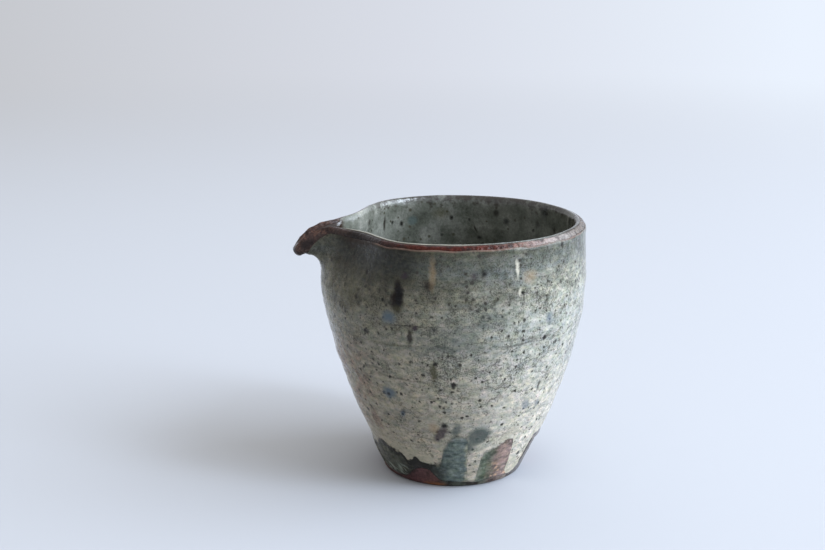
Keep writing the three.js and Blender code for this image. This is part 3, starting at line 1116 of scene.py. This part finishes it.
def grained(tree, base, shade, noises):
    """A colour times a shade and each noise, which runs between two values from one factor to another."""
    for noise, low, high, first, last in noises:
        factor = add(tree, "ShaderNodeMapRange", [noise, low, high, first, last])
        shade = add(tree, "ShaderNodeMath", [shade, factor], operation="MULTIPLY")
    return add(tree, "ShaderNodeVectorMath", {0: base, "Scale": shade}, operation="SCALE")


def laid_over(tree, under, layers):
    """Colours laid over a colour one after the other, each with its share."""
    for share, text in layers:
        under = add(tree, "ShaderNodeMix", {0: share, 6: under, 7: colour(text)}, data_type="RGBA")
    return under


print("patterns: colours_along, weighted_sum, grained, laid_over")

# %% Marks and surface
least_radius = 10.0


def painted_marks(tree, under, flat, piece, marks):
    """Lays each mark of a list over the colour."""
    for pixel, width, tall, tilt, pigment, softness, strength in marks.values():
        degrees, height = wall_at(piece, pixel)
        squeeze = reference_radius / max(outside_at(height)[0].x, least_radius)
        near = add(
            tree,
            "ShaderNodeMapping",
            {
                "Vector": flat,
                "Location": (degrees * mm_per_degree, height, 0.0),
                "Rotation": (0.0, 0.0, math.radians(tilt)),
                "Scale": (width / 2 * squeeze, tall / 2, 1.0),
            },
            vector_type="TEXTURE",
        )
        away = add(tree, "ShaderNodeVectorMath", [near], operation="LENGTH")
        share = add(tree, "ShaderNodeMapRange", [away, 1 + softness, 1 - softness, 0.0, strength])
        under = laid_over(tree, under, [(share, pigments[pigment])])
    return under


def finish_material(material, base, roughness, relief, strength, index, level):
    """One shader with a relief in millimetres, an index of refraction and a level of reflection."""
    tree = material.node_tree
    bumps = weighted_sum(tree, 0.0, relief)
    normal = add(tree, "ShaderNodeBump", {"Height": bumps, "Strength": strength, "Distance": 1 / METRE})
    surface = add(
        tree,
        "ShaderNodeBsdfPrincipled",
        {
            "Base Color": base,
            "Roughness": roughness,
            "IOR": index,
            "Specular IOR Level": level,
            "Normal": normal,
        },
    )
    add(tree, "ShaderNodeOutputMaterial", {"Surface": surface})
    print(f"{material.name}: {len(tree.nodes)} nodes")


print("marks to paint:", len(outer_marks) + len(liner_marks))

# %% [markdown]
# ## Outer coat: ash glaze over white slip
#
# The eye reads this coat from top to bottom. Under the rim the slip is thin and the iron body makes it
# olive grey. Lower down it is thicker and creamier. So one line of colours follows the height, which stands
# for the slip's thickness, and noises move it up and down: level brush streaks, mottling and slow bands.
# Blue grey ash and a pink patch low on the left are laid over it.

# %% Colour of the slip
slip_colours = [
    (4, "#c3bdb1"), (16, "#c6c2b7"), (28, "#bbb8ae"), (40, "#b6b5ab"), (50, "#b2b1a8"), (58, "#a9aaa0"),
    (66, "#999a8f"), (74, "#7a7b71"), (84, "#5d5f54"), (92, "#4c4e44"),
]
outer_noises = {
    "streaks": ((0.06, 0.06, 0.45), 5.0, 0.62, 0.0),
    "lines": ((0.1, 0.1, 1.0), 3.0, 0.5, 0.8),
    "bands": ((0.015, 0.015, 0.2), 2.0, 0.5, 0.0),
    "mottle": ((0.16, 0.16, 0.16), 5.0, 0.65, 0.0),
    "fine": ((0.85, 0.85, 0.85), 4.0, 0.62, 0.0),
    "blotches": ((0.42, 0.42, 0.66), 3.0, 0.55, 0.0),
    "grit": ((2.3, 2.3, 2.3), 2.0, 0.6, 0.0),
    "ragged": ((0.45, 0.45, 0.45), 4.0, 0.5, 0.0),
    "lumps": ((0.4, 0.4, 0.4), 3.0, 0.5, 0.0),
}
mark_warp = 1.6

tree = slip_glaze.node_tree
space, degrees, height = pot_places(tree)
flat = unrolled_mm(tree, space, degrees, height, mark_warp)
streaks, lines, bands, mottle, fine, blotches, grit, ragged, lumps = noise_fields(tree, space, outer_noises)
# painted light: high on the side away from the spout, which faces the window, the paler colours of thick slip
# reach further up
painted_light_high_side = zone(tree, degrees, height, (108, 160), (56, 82), 12.0, 8.0)
moves = [(streaks, 14.0), (mottle, 40.0), (bands, 24.0)]
middle_move = sum(millimetres for _, millimetres in moves) / 2
thickness = weighted_sum(tree, height, [*moves, (painted_light_high_side, -5.0)])
thickness = add(tree, "ShaderNodeMath", [thickness, middle_move], operation="SUBTRACT")
blue = add(tree, "ShaderNodeMapRange", [bands, 0.54, 0.68, 0.0, 0.3])
under_rim = zone(tree, degrees, height, (-180, 180), (78, 84), 1.0, 1.5, 0.25)
mid_band = add(tree, "ShaderNodeMath", [bell(tree, thickness, 52.0, 7.0), 0.3], operation="MULTIPLY")
pink = add(tree, "ShaderNodeMapRange", [mottle, 0.42, 0.62, 0.0, 0.7])
pink = zone(tree, degrees, height, (2, 42), (14, 52), 8.0, 6.0, pink)
base = colours_along(tree, thickness, slip_colours)
base = laid_over(
    tree, base, [(blue, "#8a9396"), (under_rim, "#6d777a"), (mid_band, "#7d8a8d"), (pink, "#ab8d80")]
)
print(f"colour of the slip: {len(tree.nodes)} nodes")

# %% [markdown]
# ## Painted light and shade, and brush
#
# The side next to the spout is darker and the far side is paler. This is painted shade and painted light from
# the window on the right, held by a curve round the bowl and by two patches of painted shadow under the
# spout. Streaks, grain and brush lines darken and lighten the slip, and its hue wanders between warm iron and
# cool ash, a little warmer next to the spout.

# %% Painted light and shade, and brush
# painted light and shade round the bowl: darker next to the spout, paler on the far side that faces the
# window
painted_light_round = [
    (-180, 1.15), (-90, 1.1), (-30, 1.0), (0, 1.05), (20, 0.9), (38, 0.78), (60, 0.86), (80, 0.97),
    (100, 1.12), (122, 1.32), (150, 1.25), (180, 1.15),
]
side_tint = [
    (-180, "#ffffff"), (-60, "#fffdf8"), (20, "#fffaf1"), (68, "#fffbf3"), (104, "#ffffff"),
    (180, "#ffffff"),
]
# painted shadow of the spout and its pressed rim on the wall below them
painted_spout_shadows = [
    # degrees, heights, softness in degrees and in millimetres, and the painted shade inside
    ((12, 68), (76, 100), 7.0, 6.0, 0.38),
    ((14, 66), (63, 100), 8.0, 5.0, 0.72),
]
hue_span = (0.36, 0.16, 0.44)
hue_least = (0.82, 0.92, 0.78)

shade = edge_curve(tree, degrees, painted_light_round)
for *patch, darkest in painted_spout_shadows:
    spout_shadow = add(tree, "ShaderNodeMapRange", [zone(tree, degrees, height, *patch), 0.0, 1.0, 1.0, darkest])
    shade = add(tree, "ShaderNodeMath", [shade, spout_shadow], operation="MULTIPLY")
slip_grain = [
    (streaks, 0.3, 0.7, 0.9, 1.09),
    (fine, 0.3, 0.7, 0.76, 1.2),
    (blotches, 0.3, 0.7, 0.7, 1.26),
    (lines, 0.6, 0.72, 1.0, 0.66),
]
base = grained(tree, base, shade, slip_grain)
hue = add(
    tree, "ShaderNodeVectorMath", [blotches.outputs["Color"], hue_span, hue_least], operation="MULTIPLY_ADD"
)
for tint in (hue, colours_along(tree, degrees, side_tint)):
    base = add(tree, "ShaderNodeVectorMath", [base, tint], operation="MULTIPLY")
print(f"with shade and grain: {len(tree.nodes)} nodes")

# %% [markdown]
# ## Crawled slip, stains and iron
#
# The slip crawled while it dried and left thin broken loops. They are the borders between the warped cells
# of a Voronoi texture. Olive stains lie where the slip is thin. The iron came through as grit that gathers
# in clouds, as small dots and as a few larger ones. The marks that were listed from the photograph are
# painted last.

# %% Crawled slip, stains and iron
loop_size = 6.5
stain_depth = 0.16
grit_depth = 0.06

loops = warped(tree, space, blotches, 3.6)
loops = add(
    tree, "ShaderNodeTexVoronoi", {"Vector": loops, "Scale": 1 / loop_size}, feature="DISTANCE_TO_EDGE"
)
loops_here = add(tree, "ShaderNodeMapRange", [mottle, 0.46, 0.56, 0.0, 0.65])
loops = add(tree, "ShaderNodeMapRange", [loops, 0.0, 0.04, loops_here, 0.0])
stain_start = add(tree, "ShaderNodeMapRange", [thickness, 30.0, 66.0, 0.57, 0.5])
stain_end = add(tree, "ShaderNodeMath", [stain_start, stain_depth], operation="ADD")
stain = add(tree, "ShaderNodeMapRange", [fine, stain_start, stain_end, 0.0, 0.75])
pepper_zone = zone(tree, degrees, height, (66, 112), (43, 52), 12.0, 3.0)
thin_slip = fade(tree, thickness, 44.0, 66.0)
grit_start = add(tree, "ShaderNodeMapRange", [mottle, 0.38, 0.62, 0.64, 0.54])
grit_start = weighted_sum(tree, grit_start, [(pepper_zone, -0.09), (thin_slip, -0.05)])
grit_end = add(tree, "ShaderNodeMath", [grit_start, grit_depth], operation="ADD")
pepper = add(tree, "ShaderNodeMapRange", [grit, grit_start, grit_end, 0.0, 0.6])
uneven = warped(tree, space, fine, 1.6)
small = spots(tree, uneven, 1.9, 0.5, 0.45)
middle = spots(tree, uneven, 5.0, 0.2, 0.68)
large = spots(tree, uneven, 16.0, 0.25, 1.4, 0.6)
iron = [(pepper, "#33322d"), (small, "#3f3d38"), (middle, "#2b2825"), (large, "#45484a")]
base = laid_over(tree, base, [(loops, "#4b443d"), (stain, "#4a4a41"), *iron])
base = painted_marks(tree, base, flat, outer_coat, outer_marks)
print(f"with spots and marks: {len(tree.nodes)} nodes")

# %% [markdown]
# ## Glass on bare clay
#
# Below the slip's own edge the glaze lies on the iron clay as dark glass. Two pieces with a seam could show
# that, but it is one coat of glass, so a ragged curve divides the two looks inside one material. Another line
# of colours runs round the bowl for the pools and runs. A dark line follows the edge, partly dark glass and
# partly a painted shadow under the slip's thick roll. Pale strokes on the puddle are painted highlights, and
# gold flecks where the film of glass broke are painted glints.

# %% Lines round the foot
slip_edge = [
    (-180, 13), (-160, 16), (-140, 12), (-118, 9.5), (-100, 14), (-82, 16.5), (-60, 12), (-42, 15),
    (-22, 11), (0, 12), (16, 11), (24, 13.6), (31, 14.6), (36, 13), (42, 12.6), (48, 12.2), (51, 10),
    (54, 10), (58, 11.4), (63, 10), (68, 9.6), (73.5, 9.9), (76.5, 13.4), (78, 17), (81, 19), (86, 22),
    (91, 21), (92.5, 13), (93.5, 4), (96, 1.8), (99.5, 3), (101.5, 13), (106, 15), (110, 15.8), (114, 17.4),
    (119, 18.5), (121.5, 17), (123, 9), (125.5, 2.6), (131, 1.8), (136, 4), (139, 11.4), (142, 14.5),
    (147, 16.5), (165, 15), (180, 13),
]
glass_colours = [
    (-180, "#4a4a3c"), (-90, "#5b5a48"), (0, "#52544a"), (12, "#55564c"), (44, "#4c4f45"), (54, "#322f2a"),
    (68, "#2b2824"), (74, "#3c403a"), (78, "#5c6865"), (86, "#6c7976"), (90, "#707c79"), (93, "#a8a694"),
    (99, "#8d9084"), (104, "#5d6a5b"), (109, "#6f6d61"), (113, "#86756e"), (121, "#9a8680"),
    (128, "#a08f88"), (136, "#756f6e"), (150, "#6f6b6a"), (180, "#4a4a3c"),
]
edge_line = [
    (-180, 1.2), (-90, 1.6), (0, 1.2), (20, 1.2), (40, 1.9), (68, 1.7), (75, 0.5), (100, 0.5), (120, 0.8),
    (180, 1.2),
]
ragged_depth = 4.0
wander_degrees = 16.0
stroke_slope = math.radians(-25)
stroke_length = 5.0
print(f"{len(slip_edge)} points on the slip's edge, {len(glass_colours)} colours round the foot")

# %% Glass on bare clay
drawn_edge = edge_curve(tree, degrees, slip_edge)
edge = weighted_sum(tree, -ragged_depth / 2, [(drawn_edge, 1.0), (ragged, ragged_depth)])
above_edge = add(tree, "ShaderNodeMath", [height, edge], operation="SUBTRACT")
wander = weighted_sum(tree, -wander_degrees / 2, [(degrees, 1.0), (mottle, wander_degrees)])
glass = colours_along(tree, wander, glass_colours)
glass = grained(tree, glass, 1.0, [(blotches, 0.3, 0.7, 0.5, 1.5), (fine, 0.3, 0.7, 0.65, 1.35)])
glass = add(tree, "ShaderNodeVectorMath", [glass, hue], operation="MULTIPLY")
# the dark line along the slip's edge: dark glass, and partly a painted shadow under the slip's thick roll
line_width = edge_curve(tree, degrees, edge_line)
line_depth = add(tree, "ShaderNodeMath", [above_edge, line_width], operation="DIVIDE")
line_share = add(tree, "ShaderNodeMapRange", [line_width, 0.4, 1.2, 0.35, 1.0])
line = add(tree, "ShaderNodeMath", [fade(tree, line_depth, -1.4, -0.8), line_share], operation="MULTIPLY")
# painted highlights: pale strokes on the puddle's glossy surface
downhill = add(
    tree,
    "ShaderNodeMapping",
    {"Vector": flat, "Rotation": (0.0, 0.0, stroke_slope), "Scale": (stroke_length, 1.0, 1.0)},
    vector_type="TEXTURE",
)
puddle_highlights = add(tree, "ShaderNodeTexNoise", {"Vector": downhill, "Scale": 1.0, "Detail": 2.0, "Roughness": 0.5})
puddle_highlights = add(tree, "ShaderNodeMapRange", [puddle_highlights, 0.46, 0.6, 0.0, 0.6])
puddle_highlights = zone(tree, degrees, height, (28, 49), (2.2, 7.0), 4.0, 1.2, puddle_highlights)
# painted glints: gold flecks where the film of glass broke
gold_glints = spots(tree, warped(tree, space, fine, 2.0), 1.7, 0.6, 0.6, 0.6)
gold_glints = zone(tree, degrees, height, (109, 127), (2.5, 9), 3.0, 2.0, gold_glints)
glass = laid_over(tree, glass, [(line, "#24231d"), (puddle_highlights, "#a3ada5"), (gold_glints, "#d8b294")])
print(f"with the glass below the slip: {len(tree.nodes)} nodes")

# %% [markdown]
# ## Both edges of the slip
#
# The slip ends below in a thick pale roll, but over the pools it fades out. At the top the coat is thin: it
# is pinkish tan along the rim, and a dark wash of iron hangs from the pressed rim beside the spout.

# %% Both edges of the slip
edge_softness = [
    (-180, 0.35), (14, 0.4), (28, 0.8), (44, 0.6), (52, 0.35), (62, 0.35), (72, 1.0), (78, 2.2), (90, 1.6),
    (106, 1.0), (116, 0.6), (180, 0.35),
]
softness = edge_curve(tree, degrees, edge_softness)
crisp = add(tree, "ShaderNodeMapRange", [softness, 0.6, 1.2, 0.5, 0.0])
roll = add(tree, "ShaderNodeMath", [bell(tree, above_edge, 2.2, 3.2), crisp], operation="MULTIPLY")
base = laid_over(tree, base, [(roll, "#cbc6b2")])
slip_share = add(tree, "ShaderNodeMath", [above_edge, softness], operation="DIVIDE")
base = add(tree, "ShaderNodeMix", {0: fade(tree, slip_share, -1.0, 1.0), 6: glass, 7: base}, data_type="RGBA")

top_edge = edge_curve(tree, degrees, [(at, lip_height - width) for at, width in band_edge])
below_top = add(tree, "ShaderNodeMath", [top_edge, height], operation="SUBTRACT")
beside_beak = add(tree, "ShaderNodeMath", [degrees], operation="ABSOLUTE")
tan = add(tree, "ShaderNodeMapRange", [mottle, 0.35, 0.6, 0.1, 0.7])
for share in (fade(tree, below_top, 0.6, 0.15), fade(tree, beside_beak, 40, 48)):
    tan = add(tree, "ShaderNodeMath", [tan, share], operation="MULTIPLY")
wash_depth = add(tree, "ShaderNodeMath", [mottle, 8.0, below_top], operation="MULTIPLY_ADD")
wash = add(tree, "ShaderNodeMath", [fade(tree, wash_depth, 7.6, 4.0), 0.85], operation="MULTIPLY")
wash = zone(tree, degrees, height, (18, 46), (60, 100), 5.0, 1.0, wash)
base = laid_over(tree, base, [(wash, "#2e211a"), (tan, "#84695f")])
print(f"with its edges: {len(tree.nodes)} nodes")

# %% [markdown]
# ## Gloss of the outer coat
#
# The glaze is smooth glass with an index of refraction of 1.5 and a roughness of 0.05 to 0.14. The
# photograph's dark spots show almost no reflection, so its level is low. Lumps, streaks and pits are only
# tenths of a millimetre, and a bump is enough for them.

# %% Gloss of the outer coat
roughness = add(tree, "ShaderNodeMapRange", [mottle, 0.3, 0.7, 0.05, 0.14])
relief = [(fine, 0.08), (streaks, 0.08), (lines, 0.06), (lumps, 0.35), (middle, -0.08)]
finish_material(slip_glaze, base, roughness, relief, 1.0, 1.5, 0.2)

# %% [markdown]
# ## Clay body
#
# The bare clay shows in two places. Round the rim a thin wash of glaze made it a glossy red brown, nearly
# black and streaked with orange on the beak. Above the foot it is a dry red brown to mauve, with painted
# shade along the table under the pools and a few painted glints. Both change on the way round, so each is a
# line of colours over the degrees, and the height chooses between them. The underside has one plain colour.

# %% Rim and foot
# the rim's own grey pink from 110 to 135 degrees is lightened a little as a painted sheen of glints
rim_colours = [
    (-180, "#4a3d36"), (-120, "#47362e"), (-60, "#43322b"), (-26, "#3d2c25"), (-8, "#453430"),
    (8, "#443430"), (16, "#382a25"), (24, "#180e09"), (45, "#1f0e09"), (60, "#3c1810"), (85, "#471a12"),
    (100, "#4f251d"), (110, "#79594f"), (120, "#988784"), (135, "#9c9593"), (150, "#6a5f58"),
    (180, "#4a3d36"),
]
# dark grey from 78 to 103 degrees is painted shade on the clay next to the table; the mauve from 113 to 128
# degrees is partly lightened as painted glints
foot_colours = [
    (-180, "#6d4d40"), (-90, "#74533f"), (0, "#6a493d"), (45, "#63474a"), (60, "#66494a"), (72, "#664a45"),
    (78, "#494a44"), (90, "#4d5049"), (103, "#5f6257"), (108, "#6d6e62"), (113, "#7e6f67"),
    (121, "#8c7972"), (128, "#a0928a"), (136, "#6f6764"), (150, "#6b6462"), (180, "#6d4d40"),
]
underside_colour = "#6d4d40"
foot_inside = foot_radius - 3.0
foot_outside = foot_radius - 1.0
clay_noises = {
    "mottle": ((0.3, 0.3, 0.3), 5.0, 0.65, 0.0),
    "fine": ((1.1, 1.1, 1.1), 4.0, 0.65, 0.0),
    "veins": ((0.1, 0.8, 0.35), 3.0, 0.5, 0.8),
    "lumps": ((0.8, 0.8, 0.8), 2.0, 0.5, 0.0),
}

tree = stoneware.node_tree
space, degrees, height = pot_places(tree)
mottle, fine, veins, lumps = noise_fields(tree, space, clay_noises)
up_share = fade(tree, height, 40.0, 60.0)
from_axis = add(tree, "ShaderNodeVectorMath", [space, (axis_x, 0.0, 0.0)], operation="SUBTRACT")
from_axis = add(tree, "ShaderNodeVectorMath", [from_axis, (1.0, 1.0, 0.0)], operation="MULTIPLY")
from_axis = add(tree, "ShaderNodeVectorMath", [from_axis], operation="LENGTH")
outside_foot = fade(tree, from_axis, foot_inside, foot_outside)
base = colour(underside_colour)
for share, stops in ((outside_foot, foot_colours), (up_share, rim_colours)):
    round_bowl = colours_along(tree, degrees, stops)
    base = add(tree, "ShaderNodeMix", {0: share, 6: base, 7: round_bowl}, data_type="RGBA")
base = grained(tree, base, 1.0, [(mottle, 0.3, 0.7, 0.6, 1.4), (fine, 0.3, 0.7, 0.6, 1.45)])
print(f"colours of the clay: {len(tree.nodes)} nodes")

# %% [markdown]
# ## Veins, film and a painted glint
#
# Orange streaks run out along the beak: they are the places where a stretched noise is close to its middle
# value. Flecks of thin glaze lie on the rim, and beyond the last run a film of glaze lies on the clay above
# the foot. The orange line along the lowest edge of the foot is a painted glint.

# %% Veins, film and a painted glint
thin_round = [
    (-180, 0.9), (-40, 0.7), (-10, 0.25), (30, 0.05), (60, 0.05), (92, 0.15), (112, 0.8), (140, 1.0),
    (180, 0.9),
]
film_gloss = 0.18

vein = add(tree, "ShaderNodeMath", [veins, 0.5], operation="SUBTRACT")
vein = add(tree, "ShaderNodeMath", [vein], operation="ABSOLUTE")
broken = add(tree, "ShaderNodeMapRange", [mottle, 0.45, 0.6, 0.0, 0.5])
orange = add(tree, "ShaderNodeMapRange", [vein, 0.0, 0.035, broken, 0.0])
orange = zone(tree, degrees, height, (-12, 12), (70, 100), 5.0, 3.0, orange)
thin_glaze = add(tree, "ShaderNodeMapRange", [fine, 0.5, 0.66, 0.0, 0.8])
for share in (edge_curve(tree, degrees, thin_round), up_share):
    thin_glaze = add(tree, "ShaderNodeMath", [thin_glaze, share], operation="MULTIPLY")
small = spots(tree, space, 2.6, 0.5, 0.45)
film = zone(tree, degrees, height, (78, 162), (-20, 30), 6.0, 3.0, outside_foot)
clouds = add(tree, "ShaderNodeMapRange", [mottle, 0.42, 0.58, 0.0, 0.5])
clouds = add(tree, "ShaderNodeMath", [clouds, film], operation="MULTIPLY")
dark_clouds = add(tree, "ShaderNodeMapRange", [mottle, 0.5, 0.36, 0.0, 0.75])
# painted glint: an orange line along the lowest edge of the foot
rust = add(tree, "ShaderNodeMapRange", [fine, 0.35, 0.55, 0.2, 0.9])
rust = add(tree, "ShaderNodeMath", [rust, outside_foot], operation="MULTIPLY")
rust = zone(tree, degrees, height, (62, 77), (-5, 1.5), 4.0, 0.7, rust)
base = laid_over(tree, base, [(orange, "#9c7260"), (thin_glaze, "#8a857e"), (small, "#211814")])
base = laid_over(tree, base, [(clouds, "#565c52"), (dark_clouds, "#2a1e1c"), (rust, "#9c6a4a")])
print(f"with veins, film and rust: {len(tree.nodes)} nodes")

# %% [markdown]
# ## Gloss of the clay
#
# Above the foot the fired clay is dry, with a roughness of 0.4 to 0.7, and the film on it is glossy. The
# rim's wash of glaze is as smooth as the coats. It lies over lumps that grow towards the far side, where
# the photograph's highlights are broken.

# %% Gloss of the clay
lump_height = [(-180, 0.9), (-40, 0.8), (40, 0.4), (86, 0.5), (104, 1.4), (130, 1.4), (180, 0.9)]
for share in (up_share, edge_curve(tree, degrees, lump_height)):
    lumps = add(tree, "ShaderNodeMath", [lumps, share], operation="MULTIPLY")
dry = add(tree, "ShaderNodeMapRange", [mottle, 0.35, 0.65, 0.4, 0.7])
dry = add(tree, "ShaderNodeMix", {0: film, 2: dry, 3: film_gloss}, data_type="FLOAT")
wet = add(tree, "ShaderNodeMapRange", [mottle, 0.3, 0.7, 0.06, 0.16])
roughness = add(tree, "ShaderNodeMix", {0: up_share, 2: dry, 3: wet}, data_type="FLOAT")
finish_material(stoneware, base, roughness, [(fine, 0.16), (mottle, 0.3), (lumps, 0.7)], 0.9, 1.5, 0.2)

# %% [markdown]
# ## Liner glaze
#
# The inside is a glossier grey green with round iron spots. It could share the outer coat's material, but
# it lies on bare clay without slip, so it has colours of its own and no brush streaks. Brown stains hang
# from the far rim, the glaze thins to brown at the end of the channel, and on top of the lip it ends in a
# pale line.

# %% Liner's colour and spots
liner_colours = [(0.3, "#444740"), (0.45, "#5d6059"), (0.6, "#72746e"), (0.7, "#868780")]
# painted light and reflection: the liner is lighter on the inside near the spout, which faces the window
liner_shade = [(-180, 1.0), (-110, 1.0), (-80, 1.1), (-55, 1.5), (-20, 1.6), (20, 1.4), (60, 1.0), (180, 1.0)]
liner_noises = {
    "mottle": ((0.14, 0.14, 0.14), 5.0, 0.6, 0.0),
    "fine": ((1.2, 1.2, 1.2), 4.0, 0.7, 0.0),
    "patches": ((0.45, 0.45, 0.45), 3.0, 0.6, 0.0),
}
liner_warp = 0.9

tree = liner.node_tree
space, degrees, height = pot_places(tree)
flat = unrolled_mm(tree, space, degrees, height, liner_warp)
mottle, fine, patches = noise_fields(tree, space, liner_noises)
# the liner's painted light round the bowl
painted_liner_light = edge_curve(tree, degrees, liner_shade)
base = grained(tree, colours_along(tree, mottle, liner_colours), painted_liner_light, [(fine, 0.3, 0.7, 0.7, 1.22)])
small = spots(tree, space, 2.4, 0.5, 0.45)
middle = spots(tree, space, 6.0, 0.5, 0.95)
base = laid_over(tree, base, [(small, "#4a483e"), (middle, "#2d2a26")])
print(f"colour of the liner: {len(tree.nodes)} nodes")

# %% Liner's stains, edge and gloss
whole_height = (0, 200)
far_parts = ((-175, -45), (135, 200))

hanging = add(tree, "ShaderNodeMath", [patches, 16.0, height], operation="MULTIPLY_ADD")
hanging = fade(tree, hanging, rim_height + 4.6, rim_height + 8.6)
hanging = add(tree, "ShaderNodeMath", [hanging, 0.9], operation="MULTIPLY")
far_sides = [zone(tree, degrees, height, angles, whole_height, 15.0, 1.0, hanging) for angles in far_parts]
stains = add(tree, "ShaderNodeMath", far_sides, operation="MAXIMUM")
channel_end = add(tree, "ShaderNodeMath", [patches, 9.0, height], operation="MULTIPLY_ADD")
channel_end = fade(tree, channel_end, rim_height - 4.0, rim_height + 0.5)
channel = zone(tree, degrees, height, (-11, 11), (60, 200), 3.0, 1.0, channel_end)
base = laid_over(tree, base, [(stains, "#342d26"), (channel, "#33261e")])
base = painted_marks(tree, base, flat, inner_coat, liner_marks)
line = fade(tree, height, rim_height - 0.25, rim_height - 0.1)
line = add(tree, "ShaderNodeMath", [line, 0.6], operation="MULTIPLY")
line = zone(tree, degrees, height, (14, 92), whole_height, 6.0, 1.0, line)
base = laid_over(tree, base, [(line, "#aaa698")])
finish_material(liner, base, 0.06, [(fine, 0.06), (mottle, 0.6)], 0.8, 1.65, 0.5)

# %% [markdown]
# ## Floor, light and air
#
# The bowl stands on a pale table by a large soft window on the right. More light would pale the background,
# but it would bleach the glaze as well. So the table near the bowl is a plain matt white that takes the
# shadow, and further off it glows by itself. The room has the same colours, which only the camera and
# reflections see, a little darker to the left as in the photograph.

# %% What the camera sees
distance_colours = [(-0.25, "#c5c7cc"), (0.08, "#d8dce6"), (0.4, "#ebf3ff")]
least_ahead = 0.05


def seen_share(tree):
    """1 for what the camera sees, also in a reflection and through glass, and 0 for the light on the bowl."""
    path = add(tree, "ShaderNodeLightPath")
    share = path.outputs["Is Camera Ray"]
    for kind in ("Is Glossy Ray", "Is Transmission Ray"):
        share = add(tree, "ShaderNodeMath", [share, path.outputs[kind]], operation="MAXIMUM")
    return share


def distant_colour(tree, direction):
    """The background's colour in a direction from the camera."""
    parts = add(tree, "ShaderNodeSeparateXYZ", [direction])
    ahead = add(tree, "ShaderNodeMath", [parts.outputs["Y"], least_ahead], operation="MAXIMUM")
    side = add(tree, "ShaderNodeMath", [parts.outputs["X"], ahead], operation="DIVIDE")
    return colours_along(tree, side, distance_colours)


print("background from left to right:", [text for _, text in distance_colours])

# %% Floor
table_half = 12.0
glow_starts = 0.3
glow_full = 1.6
floor_mesh = bpy.data.meshes.new("table")
corners = [(x * table_half, y * table_half, 0) for x, y in ((-1, -1), (1, -1), (1, 1), (-1, 1))]
floor_mesh.from_pydata(corners, [], [(0, 1, 2, 3)])
floor = bpy.data.objects.new("table", floor_mesh)
bpy.context.scene.collection.objects.link(floor)

table = new_material("matt_white_table")
floor_mesh.materials.append(table)
tree = table.node_tree
own = add(tree, "ShaderNodeTexCoord")
from_bowl = add(tree, "ShaderNodeVectorMath", [own.outputs["Object"]], operation="LENGTH")
far = fade(tree, from_bowl, glow_starts, glow_full)
from_camera = add(
    tree, "ShaderNodeVectorMath", [own.outputs["Object"], tuple(camera.location)], operation="SUBTRACT"
)
distant = distant_colour(tree, from_camera)
# the camera sees a white table, and the bowl gets the light that a grey one would throw back
white = add(
    tree, "ShaderNodeMix", {0: seen_share(tree), 6: colour("#a4a4a4"), 7: colour("#bcc0c9")}, data_type="RGBA"
)
matt = add(tree, "ShaderNodeBsdfDiffuse", {"Color": white, "Roughness": 0.0})
glow = add(tree, "ShaderNodeEmission", {"Color": distant, "Strength": 1.0})
surface = add(tree, "ShaderNodeMixShader", [far, matt, glow])
add(tree, "ShaderNodeOutputMaterial", {"Surface": surface})
print(f"{table.name}: {len(tree.nodes)} nodes on {2 * table_half:.0f} m of table")

# %% Light
room_lights = {
    # distance in metres, degrees to the viewer's right, degrees up, width and height in metres, watts
    "window": (1.8, 75.0, 30.0, 1.9, 1.9, 46.0),
    "bright pane": (1.8, 60.0, 36.0, 0.3, 1.2, 12.0),
}
daylight = (0.78, 0.875, 1.0)
bowl_middle = Vector((axis_x, 0, 45)) / METRE
for name, (distance, azimuth, elevation, wide, tall, power) in room_lights.items():
    pane = bpy.data.lights.new(name, "AREA")
    pane.shape = "RECTANGLE"
    pane.size = wide
    pane.size_y = tall
    pane.energy = power
    pane.color = daylight
    light = bpy.data.objects.new(name, pane)
    bpy.context.scene.collection.objects.link(light)
    across = math.radians(azimuth)
    up = math.radians(elevation)
    away = Vector((math.sin(across) * math.cos(up), -math.cos(across) * math.cos(up), math.sin(up)))
    light.location = bowl_middle + away * distance
    light.rotation_euler = away.to_track_quat("Z", "Y").to_euler()
    print(f"{name}: {power:.0f} W at", [round(v, 2) for v in light.location])

# %% Air
# the room is bright behind the bowl and dim on the viewer's side
dimmest = 0.06
brightest = 1.3
bright_side = tuple(Vector((0.45, 0.4, 0.8)).normalized())
air = bpy.data.worlds.new("room")
air.use_nodes = True
air.node_tree.nodes.clear()
bpy.context.scene.world = air
tree = air.node_tree
own = add(tree, "ShaderNodeTexCoord")
towards = add(tree, "ShaderNodeVectorMath", [own.outputs["Generated"], bright_side], operation="DOT_PRODUCT")
strength = add(tree, "ShaderNodeMapRange", [towards, -0.5, 1.0, dimmest, brightest])
fill = add(tree, "ShaderNodeBackground", {"Color": colour("#fffdf8"), "Strength": strength})
distant = distant_colour(tree, own.outputs["Generated"])
seen = add(tree, "ShaderNodeBackground", {"Color": distant, "Strength": 1.0})
both = add(tree, "ShaderNodeMixShader", [seen_share(tree), fill, seen])
add(tree, "ShaderNodeOutputWorld", {"Surface": both})
bpy.context.scene.view_settings.view_transform = "Standard"
print(f"{air.name}: strength {dimmest} to {brightest}")

# %% [markdown]
# ## Hand-over
#
# Each piece rides on the one body and stands for its CAD node, which is hidden. The names of the record's
# slots stand beside them, but nothing reads them.

# %% Hand-over
for piece, node, slot in (
    (clay_body, "clay_body", "iron_stoneware"),
    (outer_coat, "outer_glaze", "outer_slip_glaze"),
    (inner_coat, "inner_glaze", "liner_glaze"),
):
    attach(piece, "root")
    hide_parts(node)
bpy.context.view_layer.update()
